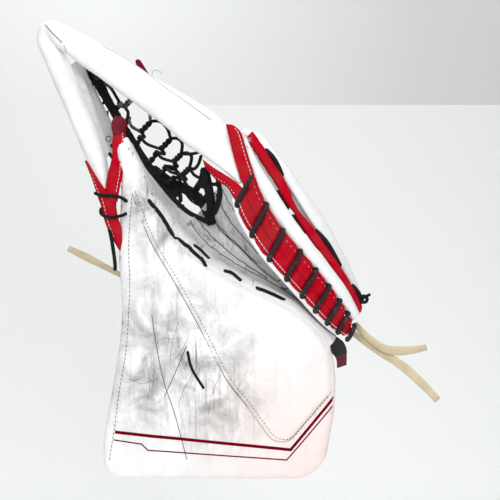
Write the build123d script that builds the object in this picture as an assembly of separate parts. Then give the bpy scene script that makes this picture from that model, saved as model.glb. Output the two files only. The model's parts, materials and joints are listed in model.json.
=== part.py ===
from build123d import *
from math import cos, pi, radians, sin, sqrt
import os

# Ice hockey goalie's catch glove (trapper) for the left hand, in millimetres.
#
# The glove folds like a taco along a straight break that runs from the heel up to the tip of the
# pocket.  The cuff and thumb board is on one side of the break and the fingers on the other.
# Depth is measured from the board's front face, positive towards the wearer's hand.  On the
# folding parts, side is the distance from the break, positive towards the fingers, and station is
# the distance from the heel along the break.

os.makedirs("parts", exist_ok=True)

# ---------------------------------------------------------------- driving dimensions
WRIST_DEPTH = 54.0               # board's front face to the middle of the wrist opening
HEEL = (156.0, 139.0)            # the break's heel end, in X and Z
HALF = sqrt(0.5)                 # the break rises at 45 degrees

SKIN = 2.0                       # leather with its backing
BOARD_FOAM = 12.0
STIFFENER = 2.0
BACK_FOAM = 6.0
BOARD_DEPTH = SKIN + BOARD_FOAM + STIFFENER + BACK_FOAM + SKIN
CLEAR = 0.4                      # air between neighbouring layers
LEATHER = 2.0
OVERLAY = 1.5                    # raised panel on the cuff
STRIPE = 0.4
PAD = 5.0                        # palm and finger foam
SHELL = 6.0                      # padded backhand
LACE = 3.0                       # diameter of a waxed lace
RAWHIDE = 2.4                    # thickness of a rawhide tie
STALL_RADIUS = 12.5
STALL_WALL = 2.0
BAND_THICK = 10.0
WEBBING = 26.0
WEBBING_THICK = 2.0
SPIRAL_TURNS = 8

parts = {}


# ---------------------------------------------------------------- places and shapes
def place(side, depth, station):
    """The point at a side, a depth and a station of the break."""
    return Vector(HEEL[0] + (side - station) * HALF, depth, HEEL[1] + (side + station) * HALF)


def across(station):
    """The plane across the break at a station: its x is side and its y is depth."""
    return Plane(origin=place(0, 0, station), x_dir=(1, 0, 1), z_dir=(-1, 0, 1))


def oval_bar(ovals):
    """A padded bar through (station, side, depth, half width, half thickness, tilt)."""
    cuts = []
    for station, side, depth, wide, thick, tilt in ovals:
        cuts.append(across(station) * Pos(side, depth) * Rot(0, 0, tilt) * Ellipse(wide, thick))
    return loft(cuts)


def leg_bar(ovals):
    """A padded bar square to its own path, through (point, half width, half depth)."""
    centres = [Vector(*centre) for centre, _, _ in ovals]
    cuts = []
    for i, (centre, wide, deep) in enumerate(ovals):
        along = centres[min(i + 1, len(ovals) - 1)] - centres[max(i - 1, 0)]
        along = Vector(along.X, 0, along.Z)
        plane = Plane(origin=centre, x_dir=(0, 1, 0), z_dir=along)
        cuts.append(plane * Ellipse(deep, wide))
    return loft(cuts)


def sheet(rows, thickness):
    """A curved sheet through rows of points, each (station, [(side, depth), ...])."""
    grid = [[place(side, depth, station) for side, depth in row] for station, row in rows]
    return Solid.thicken(Face.make_surface_from_array_of_points(grid), thickness)


def slab(outline, front, back):
    """A flat piece with an outline in X and Z, between two depths."""
    face = Plane.XZ * make_face(outline)
    return extrude(Pos(0, front, 0) * face, amount=back - front, dir=(0, 1, 0))


def rod(start, end, diameter=LACE):
    """A straight run of lace between two points."""
    start, end = Vector(*start), Vector(*end)
    return extrude(Plane(origin=start, z_dir=end - start) * Circle(diameter / 2), (end - start).length)


def laces(runs, diameter=LACE):
    """Straight runs of lace, with a ball where each run ends."""
    solids = [rod(start, end, diameter) for start, end in runs]
    solids += [Pos(Vector(*p)) * Sphere(diameter / 2) for run in runs for p in run]
    return solids[0].fuse(*solids[1:])


def chain(points):
    """The runs that join points in order."""
    return list(zip(points, points[1:]))


def rawhide(points, radii, widths):
    """A flat rawhide tie along straight runs joined by arcs, with its length."""
    path = FilletPolyline(*points, radius=radii)
    cuts = []
    for i, width in enumerate(widths):
        t = i / (len(widths) - 1)
        plane = Plane(origin=path @ t, x_dir=(path % t).cross(Vector(0, 1, 0)), z_dir=path % t)
        cuts.append(plane * Rectangle(width, RAWHIDE))
    return loft(cuts), path.length


# ---------------------------------------------------------------- cuff and thumb board
def board_outline(inset=0.0):
    """The outline of the one-piece cuff and thumb."""
    line = Spline((-62, 316), (-58, 270), (-60, 214), (-57, 171), (-66, 86), (-77, 22))
    line += ThreePointArc((-77, 22), (-74, 7), (-58, 0))
    line += Line((-58, 0), (104, 0))
    line += ThreePointArc((104, 0), (127, 10), (137, 34))
    line += Spline((137, 34), (143, 70), (143, 104), (136, 134))
    line += Spline(
        (136, 134), (110, 160), (94, 170), (57, 189), (27, 205), (-4, 230), (-30, 265), (-46, 298),
        (-55, 314),
    )
    line += ThreePointArc((-55, 314), (-59, 319), (-62, 316))
    face = make_face(line)
    return refit(offset(face, -inset)) if inset else face


def refit(face):
    """The same outline with a plain spline in place of each curved edge."""
    line = Curve()
    for edge in face.face().outer_wire().edges():
        straight = edge.geom_type == GeomType.LINE
        line += Line(edge @ 0, edge @ 1) if straight else Spline(*[edge @ (i / 12) for i in range(13)])
    return make_face(line)


def board_layer(front, back, inset=0.0):
    """One layer of the board between two depths."""
    face = Plane.XZ * board_outline(inset)
    return extrude(Pos(0, front, 0) * face, amount=back - front, dir=(0, 1, 0))


def make_board():
    """Front skin, foam, stiffener, back foam, liner and the side wall that closes them in."""
    foam = SKIN + BOARD_FOAM
    stiff = foam + STIFFENER
    back = stiff + BACK_FOAM
    parts["cuff_front_skin"] = board_layer(0, SKIN)
    parts["cuff_foam"] = board_layer(SKIN, foam, SKIN + CLEAR)
    parts["cuff_stiffener"] = board_layer(foam, stiff, SKIN + CLEAR)
    parts["cuff_back_foam"] = board_layer(stiff, back, SKIN + CLEAR)
    parts["cuff_side_wall"] = board_layer(SKIN, back) - board_layer(SKIN, back, SKIN)
    parts["cuff_back_skin"] = board_layer(back, BOARD_DEPTH)


def make_overlay():
    """The raised panel over the board's lower right, and the two crimson stripes below it."""
    line = Spline((-50, 272), (-33, 228), (-11, 190), (11, 151), (39, 97), (58, 72), (79, 43))
    line += ThreePointArc((79, 43), (88, 37), (99, 38))
    line += Line((99, 38), (139, 84))
    line += Line((139, 84), (139, 108))
    line += Spline(
        (139, 108), (132, 133), (108, 156), (92, 166), (56, 184), (25, 200), (-8, 226), (-34, 261),
        (-47, 284),
    )
    line += Line((-47, 284), (-50, 272))
    parts["cuff_overlay_panel"] = slab(line, -OVERLAY, 0)
    for name, lines in {
        "cuff_stripe_wide": [
            ((-69, 44.5), (101, 27.5), (141.5, 76)),
            ((-69, 47.5), (100, 30.5), (141.5, 80)),
        ],
        "cuff_stripe_fine": [((-70, 38), (-41, 34), (-35, 28), (97, 18.5), (140.5, 69)),
                             ((-70, 39.2), (-40.5, 35.2), (-34.5, 29.2), (96.5, 19.8), (140.5, 71))],
    }.items():
        edge = Polyline(*lines[0], *reversed(lines[1]), close=True)
        parts[name] = slab(edge, -STRIPE, 0)


# ---------------------------------------------------------------- palm and pocket
PALM_THUMB = [
    (14, [(-14.6, 2), (-13.6, 12), (-12.8, 22), (-11, 30)]),
    (47, [(-14.8, 2), (-14.8, 14), (-14.4, 26), (-12, 35)]),
    (66, [(-18.8, 2), (-18.6, 14), (-18, 27), (-15, 37)]),
    (105, [(-31.2, 2), (-30, 17), (-27, 32), (-20, 45)]),
    (138, [(-41.6, 2), (-38.4, 19), (-33, 36), (-22, 51)]),
    (177, [(-45.6, 2), (-42.4, 22), (-36, 42), (-27, 58)]),
]
PALM_FINGER = [
    (20, [(-7, 32), (-4, 27), (-2, 23), (0, 19.5)]),
    (47, [(-9, 37), (-6, 27), (-3, 17), (0, 8)]),
    (66, [(-11, 39), (-7, 24), (-2, 9), (2, -4)]),
    (105, [(-15, 47), (-9, 26), (0, 3), (6, -17)]),
    (138, [(-16, 53), (-8, 30), (3, 3), (10, -22)]),
    (177, [(-18, 60), (-7, 34), (8, 5), (20, -22)]),
]
THUMB_LEATHER = [
    (181, [(-45.2, 2), (-41.6, 30), (-37, 54), (-32, 64)]),
    (220, [(-38, 2), (-36.6, 32), (-34, 60), (-32, 80)]),
    (255, [(-26.6, 2), (-27.4, 32), (-28, 58), (-28, 82)]),
    (280, [(-19, 4), (-20.4, 30), (-21.5, 54), (-21, 74)]),
]
FINGER_PAD = [
    (40, [(-3, 31), (-1, 26), (1, 21), (3, 16)]),
    (66, [(-2, 34), (1, 24), (5, 14), (8, 6)]),
    (105, [(-2, 40), (3, 24), (9, 8), (14, -6)]),
    (145, [(-2, 44), (6, 26), (13, 8), (18, -10)]),
]
THUMB_PAD = [
    (30, [(-29, 28), (-23, 34), (-17, 41)]),
    (66, [(-33, 29), (-27, 37), (-20, 45)]),
    (105, [(-45, 29), (-37, 42), (-28, 54)]),
    (138, [(-56, 29), (-46, 46), (-34, 61)]),
    (170, [(-60, 29), (-50, 48), (-38, 66)]),
]
# Middle of the T strip: station, side, depth and half width.
T_STRIP = [
    (183, -24, 66, 4.5), (214, -25, 84, 5), (254, -21, 88, 5), (292, -12, 80, 4.5),
    (328, -3, 65, 4), (352, 4, 50, 4),
]
# Where the net is tied to the finger leg of the rim: station, side and depth.
NET_EDGE = [(196, 18, -4), (226, 14, -3), (262, 11.5, 0), (298, 7, 7), (330, 4.5, 12), (352, 3, 19)]


def along(curve, t):
    """The values at a share t of the way through a list of stations, sides, depths and so on."""
    at = t * (len(curve) - 1)
    i = min(int(at), len(curve) - 2)
    return [a + (b - a) * (at - i) for a, b in zip(curve[i], curve[i + 1])]


def net_point(t, share):
    """A net joint: t runs up the pocket, share runs from the T strip to the rim."""
    strip, edge = along(T_STRIP, t), along(NET_EDGE, t)
    station, side, depth = (a + (b - a) * share for a, b in zip(strip, edge))
    return place(side, depth, station)


def make_pocket():
    """Palm leather and its foam, the thumb's leather, the T strip and the net's two halves."""
    parts["palm_leather_thumb_side"] = sheet(PALM_THUMB, LEATHER)
    parts["palm_leather_finger_side"] = sheet(PALM_FINGER, LEATHER)
    parts["thumb_palm_leather"] = sheet(THUMB_LEATHER, LEATHER)
    parts["palm_pad_thumb_side"] = sheet(THUMB_PAD, PAD)
    parts["palm_pad_finger_side"] = sheet(FINGER_PAD, PAD)
    cuts = []
    for station, side, depth, half in T_STRIP:
        cuts.append(across(station) * Pos(side, depth) * Rectangle(2 * half, 3))
    parts["pocket_t_strip"] = loft(cuts)
    strip_side, rim_side = [], []
    cells = 6
    for i in range(cells):
        low, high = net_point(i / cells, 0.12), net_point((i + 1) / cells, 0.12)
        mid = net_point((i + 0.5) / cells, 0.46)
        strip_side += [(low, mid), (mid, high)]
        upper = net_point((i + 0.5) / cells, 0.54)
        edge_low, edge_high = net_point(i / cells, 1), net_point((i + 1) / cells, 1)
        rim_side += [(edge_low, upper), (upper, edge_high)]
    parts["pocket_net_strip_side"] = laces(strip_side)
    parts["pocket_net_rim_side"] = laces(rim_side)


# ---------------------------------------------------------------- rim
def make_rim():
    """The two padded legs of the rim, which meet in a fold at the tip."""
    parts["rim_leg_thumb"] = leg_bar([
        ((-136, 33, 424), 7, 13), ((-127, 31, 402), 9.5, 18), ((-114, 30, 374), 10.5, 19),
        ((-104, 29, 350), 10.5, 19), ((-95, 29, 327), 10, 19), ((-87, 29, 303), 9, 17),
        ((-80, 27, 284), 6, 12),
    ])
    parts["rim_leg_finger"] = oval_bar([
        (414, 9, 13, 5, 6, 0), (391, 13, 11, 10, 8, 0), (351, 18, 6, 12.5, 10, 0),
        (304, 25, -2, 15, 11, 0), (262, 32, -9, 18, 11, 0), (228, 39, -15, 21, 11, 0),
        (204, 43, -20, 18, 8, 0),
    ])
    rows = [
        (357, [(-9, 38), (-8, 43), (-7, 48)]), (333, [(-19.5, 36), (-18, 43), (-16, 50)]),
        (310, [(-30, 36), (-27.5, 44), (-25, 52)]), (292, [(-38, 36), (-35, 45), (-32, 54)]),
    ]
    parts["thumb_leg_inner_binding"] = sheet(rows, LEATHER)
    runs = []
    for t in (0.62, 0.74, 0.86):
        station, side, depth, half = along(T_STRIP, t)
        runs.append((place(side - half - 2.5, depth, station), place(tie_side(station), 54, station)))
    parts["pocket_net_thumb_loops"] = laces(runs)
    parts["rim_top_tab"] = extrude(
        across(352) * Pos(27, -5) * Rectangle(12, 1.6), 11
    )


def tie_side(station):
    """The side at which a short loop meets the thumb leg's inner binding."""
    return -7 - (357 - station) * 0.39 + 6


# ---------------------------------------------------------------- finger side
# Middle line of the red laced band: station, side, depth and half width.
BAND = [
    (2, 2.5, 20, 7), (25, 4, 5, 10.5), (57, 6.5, -12, 12), (90, 8.5, -26, 12.5),
    (118, 11, -32, 12.5), (150, 18, -34, 12.5), (176, 26, -33, 12),
]
ROLL = [
    (4, 17, 21, 4.5), (25, 21.5, 8, 5.5), (57, 26, -8, 6), (90, 28.5, -20, 6.5),
    (118, 31.5, -25, 6.5), (150, 38.5, -27, 6.5), (178, 46, -26, 6),
]
GUSSET = [
    (8, 25.5, 26, 3.5), (32, 32, 14, 4), (68, 38.5, -2, 4), (103, 43, -12, 4.5),
    (136, 50, -17, 4.5), (176, 58.5, -18, 4.5),
]
SHELL_ROWS = [
    (18, [(30, 37), (32, 51), (31, 66), (27, 80)]),
    (38, [(38, 27), (41, 46), (40, 65), (35, 84)]),
    (68, [(46, 12), (50.5, 37), (50.5, 62), (42, 88)]),
    (106, [(53, 2), (59, 31), (59, 62), (48, 92)]),
    (143, [(60, -4), (63, 28), (61, 61), (50, 94)]),
    (185, [(67, -8), (67, 22), (64, 55), (53, 88)]),
    (208, [(66, -6), (65, 19), (62, 47), (55, 78)]),
]
# Fingers from the little one to the first: station, side, and depths of the tip and the mouth.
FINGERS = [(52, 22.5, 16, 62), (80, 29.5, 7, 66), (108, 35, 1, 68), (136, 40, -3, 68)]


def make_finger_edge():
    """The laced band, the white roll and the second gusset, and the lace round the band."""
    parts["finger_band"] = oval_bar([(s, u, y, half, BAND_THICK / 2, 0) for s, u, y, half in BAND])
    parts["finger_roll"] = oval_bar([(s, u, y, half, half, 0) for s, u, y, half in ROLL])
    parts["finger_gusset"] = oval_bar([(s, u, y, half, 4, 0) for s, u, y, half in GUSSET])
    turns = []
    for i in range(SPIRAL_TURNS):
        station = lace_turn(i)
        _, side, depth, half = at_station(BAND, station)
        front, reach = depth - BAND_THICK / 2 - 4.8, half * 0.86
        turns.append((place(side - reach, front, station - 6), place(side + reach, front, station + 5)))
    parts["finger_band_lace"] = laces(turns)
    seam = []
    for low, high in ((8, 26), (46, 86), (104, 128), (150, 176)):
        seam.append((seam_point(low), seam_point(high)))
    parts["backhand_lace"] = laces(seam)


def lace_turn(i):
    """The station of one turn of the band's lace: the turns lie closer together at the heel."""
    return 10 + 13.5 * i + 1.25 * i ** 2


def at_station(curve, station):
    """The values at a station of a list that starts with stations."""
    for low, high in zip(curve, curve[1:]):
        if station <= high[0]:
            k = (station - low[0]) / (high[0] - low[0])
            return [a + (b - a) * k for a, b in zip(low, high)]
    return list(curve[-1])


def seam_point(station):
    """A point in front of the gusset, for the lace that ties the backhand to it."""
    _, side, depth, _ = at_station(GUSSET, station)
    return place(side + 1, depth - 8, station)


def make_hand():
    """Backhand shell, finger stalls, hand strap and buckle."""
    parts["backhand_shell"] = sheet(SHELL_ROWS, SHELL)
    names = ("little", "ring", "middle", "first")
    for name, (station, side, tip, mouth) in zip(names, FINGERS):
        at = place(side, tip, station)
        outer = extrude(Plane(origin=at, z_dir=(0, 1, 0)) * Circle(STALL_RADIUS), mouth - tip)
        bore = Plane(origin=at + Vector(0, STALL_WALL, 0), z_dir=(0, 1, 0))
        inner = extrude(bore * Circle(STALL_RADIUS - STALL_WALL), mouth - tip)
        parts[f"{name}_finger_stall"] = outer - inner
    rows = [
        (84, [(41, 96), (30, 103), (14, 104), (-4, 98)]),
        (99, [(42, 97), (31, 105), (14, 106), (-4, 100)]),
        (114, [(43, 98), (32, 106), (14, 107), (-4, 101)]),
    ]
    parts["hand_strap"] = sheet(rows, LEATHER)


# ---------------------------------------------------------------- thumb
def make_thumb():
    """Thumb stall behind the board, its shell, the red bindings, their lace and its tail."""
    path = ((-30, BOARD_DEPTH + 15, 206), (-50, BOARD_DEPTH + 14.5, 278))
    axis = Vector(*path[1]) - Vector(*path[0])
    plane = Plane(origin=path[0], z_dir=axis)
    outer = extrude(plane * Circle(14), axis.length)
    parts["thumb_stall"] = outer - extrude(plane * Circle(12), axis.length - STALL_WALL)
    back = Plane(origin=path[0], x_dir=(0, 1, 0), z_dir=axis)
    arc = CenterArc((0, 0), 15.5, -35, 70) + CenterArc((0, 0), 19.5, -35, 70)
    ends = arc.edges()
    arc += Line(ends[0] @ 0, ends[1] @ 0) + Line(ends[0] @ 1, ends[1] @ 1)
    parts["thumb_back_shell"] = extrude(back * make_face(arc), axis.length)
    line = Spline((-97, 306), (-89, 283), (-81, 259), (-72, 233), (-63, 215))
    line += Spline((-63, 215), (-67, 240), (-75, 268), (-85, 292), (-97, 306))
    parts["thumb_outer_binding"] = slab(line, 4, 6)
    line = Spline((-68, 332), (-66, 300), (-64.5, 265), (-63, 230))
    line += Polyline((-63, 230), (-66, 250), (-72, 270), (-75, 300), (-74, 332), (-68, 332))
    parts["thumb_inner_binding"] = slab(line, 0.5, 3)
    turns = [((-82, -1.4, 268), (-63, -1.4, 264)), ((-76, -1.4, 252), (-63, -1.4, 248))]
    parts["thumb_lace"] = laces(turns)
    tail = [(-70, -1.4, 236), (-66, 0, 218), (-64, 3, 203)]
    parts["thumb_lace_tail"] = laces(chain(tail))


# ---------------------------------------------------------------- wrist
def make_wrist():
    """Wrist pad, wrist strap with its tab, and the strap end at the heel."""
    pad = Pos(28, BOARD_DEPTH + 4 + CLEAR, 72) * Box(150, 8, 96)
    parts["wrist_pad"] = fillet(pad.edges().filter_by(Axis.Y), 20)
    half = WEBBING / 2
    lap = BOARD_DEPTH + 4.4
    route = [(-58, 29), (-58, 62), (-34, 84), (98, 84), (130, 60), (130, lap), (106, lap)]
    path = FilletPolyline(*route, radius=12)
    band = trace_band(path)
    parts["wrist_strap"] = extrude(Pos(0, 0, 92 - half) * band, WEBBING)
    parts["wrist_strap_anchor"] = Pos(-52, BOARD_DEPTH + 1.6, 92) * Box(8, 2.4, WEBBING)
    parts["wrist_strap_hook_patch"] = Pos(124, BOARD_DEPTH + 1.6, 92) * Box(22, 2.4, WEBBING)
    behind = BOARD_DEPTH + 1.4
    parts["strap_end"] = Pos(141, behind, 124) * Box(30, WEBBING_THICK, 20)
    parts["strap_end_tip"] = Pos(149.5, behind, 108.5) * Box(12, WEBBING_THICK, 10.6)


def trace_band(path):
    """A band of webbing seen from above, along a path in X and depth."""
    return make_face(offset(path, WEBBING_THICK / 2, side=Side.BOTH))


# ---------------------------------------------------------------- free laces
def make_ties():
    """The knot at the heel and the rawhide ties."""
    parts["heel_lace_knot"] = Pos(place(34, 20, 11)) * Sphere(4)
    lengths = {}
    ties = {
        "heel_rawhide_upper": (
            [(165, 34, 146), (180, 20, 128), (204, 10, 119), (230, 2, 126)],
            [14, 22], (6, 7, 8, 9, 6),
        ),
        "heel_rawhide_lower": (
            [(162, 36, 138), (180, 24, 124), (216, 8, 104), (240, -2, 76)],
            [16, 30], (6, 7, 8, 9, 7),
        ),
        "thumb_rawhide": (
            [(-62, 14, 194), (-76, 6, 202), (-94, 0, 212), (-110, -4, 220)],
            [20, 20], (5, 6, 7, 7, 6),
        ),
    }
    for name, (points, radii, widths) in ties.items():
        parts[name], lengths[name] = rawhide(points, radii, widths)
    return lengths


if __name__ == "__main__":
    for make in (make_board, make_overlay, make_pocket, make_rim, make_finger_edge, make_hand,
                 make_thumb, make_wrist):
        make()
    for name, length in make_ties().items():
        print(name, "length", round(length, 1))
    for name, shape in parts.items():
        export_step(Pos(0, -WRIST_DEPTH, 0) * shape, f"parts/{name}.step")
        box = shape.bounding_box()
        print(f"{name:28} {shape.volume:9.0f} {shape.is_valid} {box.min} {box.max}")
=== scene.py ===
"""Looks of the left-hand goalie's catch glove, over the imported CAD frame.

Places are in millimetres in two ways.  point() takes X, depth and Z, where depth is measured from
the front face of the cuff board.  fold() takes side, depth and station, where side is the distance
from the glove's break, positive towards the fingers, and station the distance along it from the heel.
"""
import json
import math
import random

import bmesh
import bpy
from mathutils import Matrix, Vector, noise
from mathutils.bvhtree import BVHTree
from mathutils.geometry import delaunay_2d_cdt
from mathutils.kdtree import KDTree


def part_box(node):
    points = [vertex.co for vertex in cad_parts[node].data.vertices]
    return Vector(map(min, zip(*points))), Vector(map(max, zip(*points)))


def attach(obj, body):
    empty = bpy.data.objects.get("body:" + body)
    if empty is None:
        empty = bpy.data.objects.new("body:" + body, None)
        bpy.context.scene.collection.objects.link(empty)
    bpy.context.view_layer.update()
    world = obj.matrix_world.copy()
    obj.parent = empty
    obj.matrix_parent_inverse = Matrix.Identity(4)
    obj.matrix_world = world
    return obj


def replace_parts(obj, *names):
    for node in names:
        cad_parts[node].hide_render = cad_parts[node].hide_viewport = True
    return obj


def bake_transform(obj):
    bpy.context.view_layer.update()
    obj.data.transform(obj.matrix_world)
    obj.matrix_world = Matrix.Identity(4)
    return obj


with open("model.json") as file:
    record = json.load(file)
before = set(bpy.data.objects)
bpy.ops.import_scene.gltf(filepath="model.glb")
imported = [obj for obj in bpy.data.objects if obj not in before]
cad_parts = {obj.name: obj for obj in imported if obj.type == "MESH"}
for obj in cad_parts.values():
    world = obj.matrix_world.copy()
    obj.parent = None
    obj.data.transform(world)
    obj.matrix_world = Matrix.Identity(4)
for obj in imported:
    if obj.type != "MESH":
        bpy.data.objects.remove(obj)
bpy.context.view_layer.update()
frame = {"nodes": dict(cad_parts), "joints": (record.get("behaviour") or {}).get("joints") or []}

# ---------------------------------------------------------------- places and sizes
MM = 0.001
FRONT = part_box("cuff_front_skin")[0].y
BOARD_DEPTH = (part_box("cuff_back_skin")[1].y - FRONT) / MM
BREAK = next(joint for joint in frame["joints"] if joint["name"] == "break_hinge")
HEEL = Vector(BREAK["pos_m"])
ALONG = Vector(BREAK["axis"])
ACROSS = Vector((ALONG.z, 0, -ALONG.x))
LACE = 3.0                       # diameter of a waxed lace
BRAID = 2.4                      # one turn of a lace's braid
RAWHIDE = 2.0                    # thickness of a rawhide tie
STRAP_THICKNESS = 2.4            # straps of the web at the pocket's foot
TUBE_END = 0.6                   # a tube's end ring, as a share of its radius
TO_VIEWER = Vector((0, -1, 0))
INTO_GLOVE = Vector((0, 1, 0))
random.seed(11)


def point(x, depth, z):
    """A place by X, depth and Z."""
    return Vector((x * MM, FRONT + depth * MM, z * MM))


def fold(side, depth, station):
    """A place by side of the break, depth and station along it."""
    place = HEEL + (ACROSS * side + ALONG * station) * MM
    return Vector((place.x, FRONT + depth * MM, place.z))


def smooth(values, count):
    """Values at even steps along a soft curve through the given tuples."""
    last = len(values) - 1
    found = []
    for step in range(count):
        t = step / (count - 1) * last
        i = min(int(t), last - 1)
        t -= i
        p = [values[min(max(i + k, 0), last)] for k in (-1, 0, 1, 2)]
        found.append(tuple(
            0.5 * (2 * b + (c - a) * t + (2 * a - 5 * b + 4 * c - d) * t * t + (3 * b - a - 3 * c + d)
                   * t ** 3)
            for a, b, c, d in zip(*p)
        ))
    return found


def polyline(corners, step=2.0):
    """Points in straight runs between corners, about a step apart."""
    points = []
    for start, end in zip(corners, corners[1:]):
        start, end = Vector(start), Vector(end)
        count = max(int((end - start).length / step), 1)
        points += [tuple(start.lerp(end, i / count)) for i in range(count)]
    return points + [tuple(corners[-1])]


def ease(t):
    """0 to 1 with soft ends."""
    t = min(max(t, 0.0), 1.0)
    return t * t * (3 - 2 * t)


def wobble(place, size, seed=0.0):
    """Smooth noise from -1 to 1 with features of a size in millimetres."""
    return noise.noise(place / (size * MM) + Vector((seed, seed * 1.7, -seed)))


# ---------------------------------------------------------------- materials
def graph(name):
    """A new material's node tree, its principled shader and a helper that adds linked nodes."""
    material = bpy.data.materials.new(name)
    material.use_nodes = True
    tree = material.node_tree
    shader = tree.nodes["Principled BSDF"]

    def add(kind, settings=None, **inputs):
        node = tree.nodes.new(kind)
        for key, value in (settings or {}).items():
            setattr(node, key, value)
        for key, value in inputs.items():
            socket = node.inputs[int(key[1:])] if key[0] == "i" and key[1:].isdigit() else node.inputs[key]
            if isinstance(value, bpy.types.NodeSocket):
                tree.links.new(value, socket)
            else:
                socket.default_value = value
        return node

    return material, tree, shader, add


def ramp(add, value, low, high):
    """Maps a value from low..high to 0..1, clamped."""
    return add("ShaderNodeMapRange", i0=value, i1=low, i2=high).outputs[0]


def mix(add, factor, a, b):
    """Mixes two colours."""
    node = add("ShaderNodeMix", {"data_type": "RGBA"})
    tree = node.id_data
    for index, value in ((0, factor), (6, a), (7, b)):
        socket = node.inputs[index]
        if isinstance(value, bpy.types.NodeSocket):
            tree.links.new(value, socket)
        else:
            socket.default_value = value
    return node.outputs[2]


def math_node(add, operation, a, b=0.0):
    """One scalar sum, product and so on."""
    return add("ShaderNodeMath", {"operation": operation}, i0=a, i1=b).outputs[0]


def colour(r, g, b):
    """A colour with full alpha."""
    return (r, g, b, 1.0)


def bumps(add, tree, shader, layers):
    """Chains bump nodes, each (height socket, strength, distance in metres), into the shader."""
    normal = None
    for height, strength, distance in layers:
        node = add("ShaderNodeBump", Height=height, Strength=strength, Distance=distance)
        if normal is not None:
            tree.links.new(normal, node.inputs["Normal"])
        normal = node.outputs[0]
    tree.links.new(normal, shader.inputs["Normal"])


def leather(name, base, shade, grain=0.9, dirt_and_shade=0.0, scratches=0.0, rough=0.42, dirt_and_shade_at=None, tint=None,
            streaks=None, shine=0.45):
    """Coated leather with grain, soft creases, colour drift, and scuffs and scratches where it is worn; its
    darkening round given places is dirt, and on the palm it is painted shade as well.
    """
    material, tree, shader, add = graph(name)
    where = add("ShaderNodeTexCoord").outputs["Object"]
    drift = add("ShaderNodeTexNoise", Vector=where, Scale=14.0, Detail=5.0, Roughness=0.6).outputs[0]
    tone = mix(add, ramp(add, drift, 0.35, 0.7), base, shade)
    if tint:
        place, reach, hue = tint
        away = add("ShaderNodeVectorMath", {"operation": "DISTANCE"}, i0=where, i1=place).outputs["Value"]
        near = add("ShaderNodeMapRange", i0=away, i1=reach, i2=0.0).outputs[0]
        tone = mix(add, math_node(add, "MULTIPLY", near, 0.7), tone, hue)
    rub = add("ShaderNodeTexNoise", Vector=where, Scale=38.0, Detail=8.0, Roughness=0.68,
              Distortion=0.6).outputs[0]
    worn = ramp(add, rub, 0.37, 0.67)
    # Darkening gathered round given places: dirt on the cuff; on the palm it is painted shade in the band by
    # the crease as well as dirt.
    if dirt_and_shade_at:
        dirt_and_shade_near = None
        for place, reach in dirt_and_shade_at:
            away = add("ShaderNodeVectorMath", {"operation": "DISTANCE"}, i0=where,
                       i1=place).outputs["Value"]
            near = add("ShaderNodeMapRange", i0=away, i1=reach, i2=0.0).outputs[0]
            dirt_and_shade_near = near if dirt_and_shade_near is None else math_node(add, "MAXIMUM", dirt_and_shade_near, near)
        worn = math_node(add, "MULTIPLY", worn, math_node(add, "ADD", dirt_and_shade_near, 0.10))
    tone = mix(add, math_node(add, "MULTIPLY", worn, dirt_and_shade), tone, colour(0.16, 0.162, 0.148))
    if streaks:
        lie, amount = streaks
        along = add("ShaderNodeMapping", Vector=where, Rotation=(0, lie, 0),
                    Scale=(1.0, 0.35, 0.09)).outputs[0]
        smear = add("ShaderNodeTexNoise", Vector=along, Scale=170.0, Detail=6.0, Roughness=0.75,
                    Distortion=0.5).outputs[0]
        smear = math_node(add, "MULTIPLY", ramp(add, smear, 0.52, 0.68), amount)
        if dirt_and_shade_at:
            smear = math_node(add, "MULTIPLY", smear, math_node(add, "ADD", dirt_and_shade_near, 0.12))
        tone = mix(add, smear, tone, colour(0.10, 0.10, 0.105))
    if scratches:
        total = None
        for angle, scale in ((0.35, 26.0), (1.15, 21.0), (-0.5, 17.0)):
            spin = add("ShaderNodeMapping", Vector=where, Rotation=(0, angle, 0), Scale=(1.0, 1.0, 0.045))
            mark = add("ShaderNodeTexNoise", Vector=spin.outputs[0], Scale=scale * 4, Detail=3.0,
                       Roughness=0.75)
            line = ramp(add, mark.outputs[0], 0.665, 0.70)
            total = line if total is None else math_node(add, "MAXIMUM", total, line)
        if dirt_and_shade_at:
            total = math_node(add, "MULTIPLY", total, math_node(add, "ADD", dirt_and_shade_near, 0.08))
        tone = mix(add, math_node(add, "MULTIPLY", total, scratches), tone, colour(0.16, 0.15, 0.17))
    tree.links.new(tone, shader.inputs["Base Color"])
    gloss = add("ShaderNodeMapRange", i0=rub, i1=0.3, i2=0.7, i3=rough - 0.07, i4=rough + 0.1).outputs[0]
    tree.links.new(gloss, shader.inputs["Roughness"])
    shader.inputs["Specular IOR Level"].default_value = shine
    cells = add("ShaderNodeTexVoronoi", {"feature": "SMOOTH_F1"}, Vector=where,
                Scale=1000.0 / grain).outputs[0]
    folds = add("ShaderNodeTexNoise", Vector=where, Scale=85.0, Detail=4.0, Roughness=0.55,
                Distortion=1.2).outputs[0]
    bumps(add, tree, shader, [(folds, 0.22, 0.0012), (cells, 0.25, 0.00012)])
    return material


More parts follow.
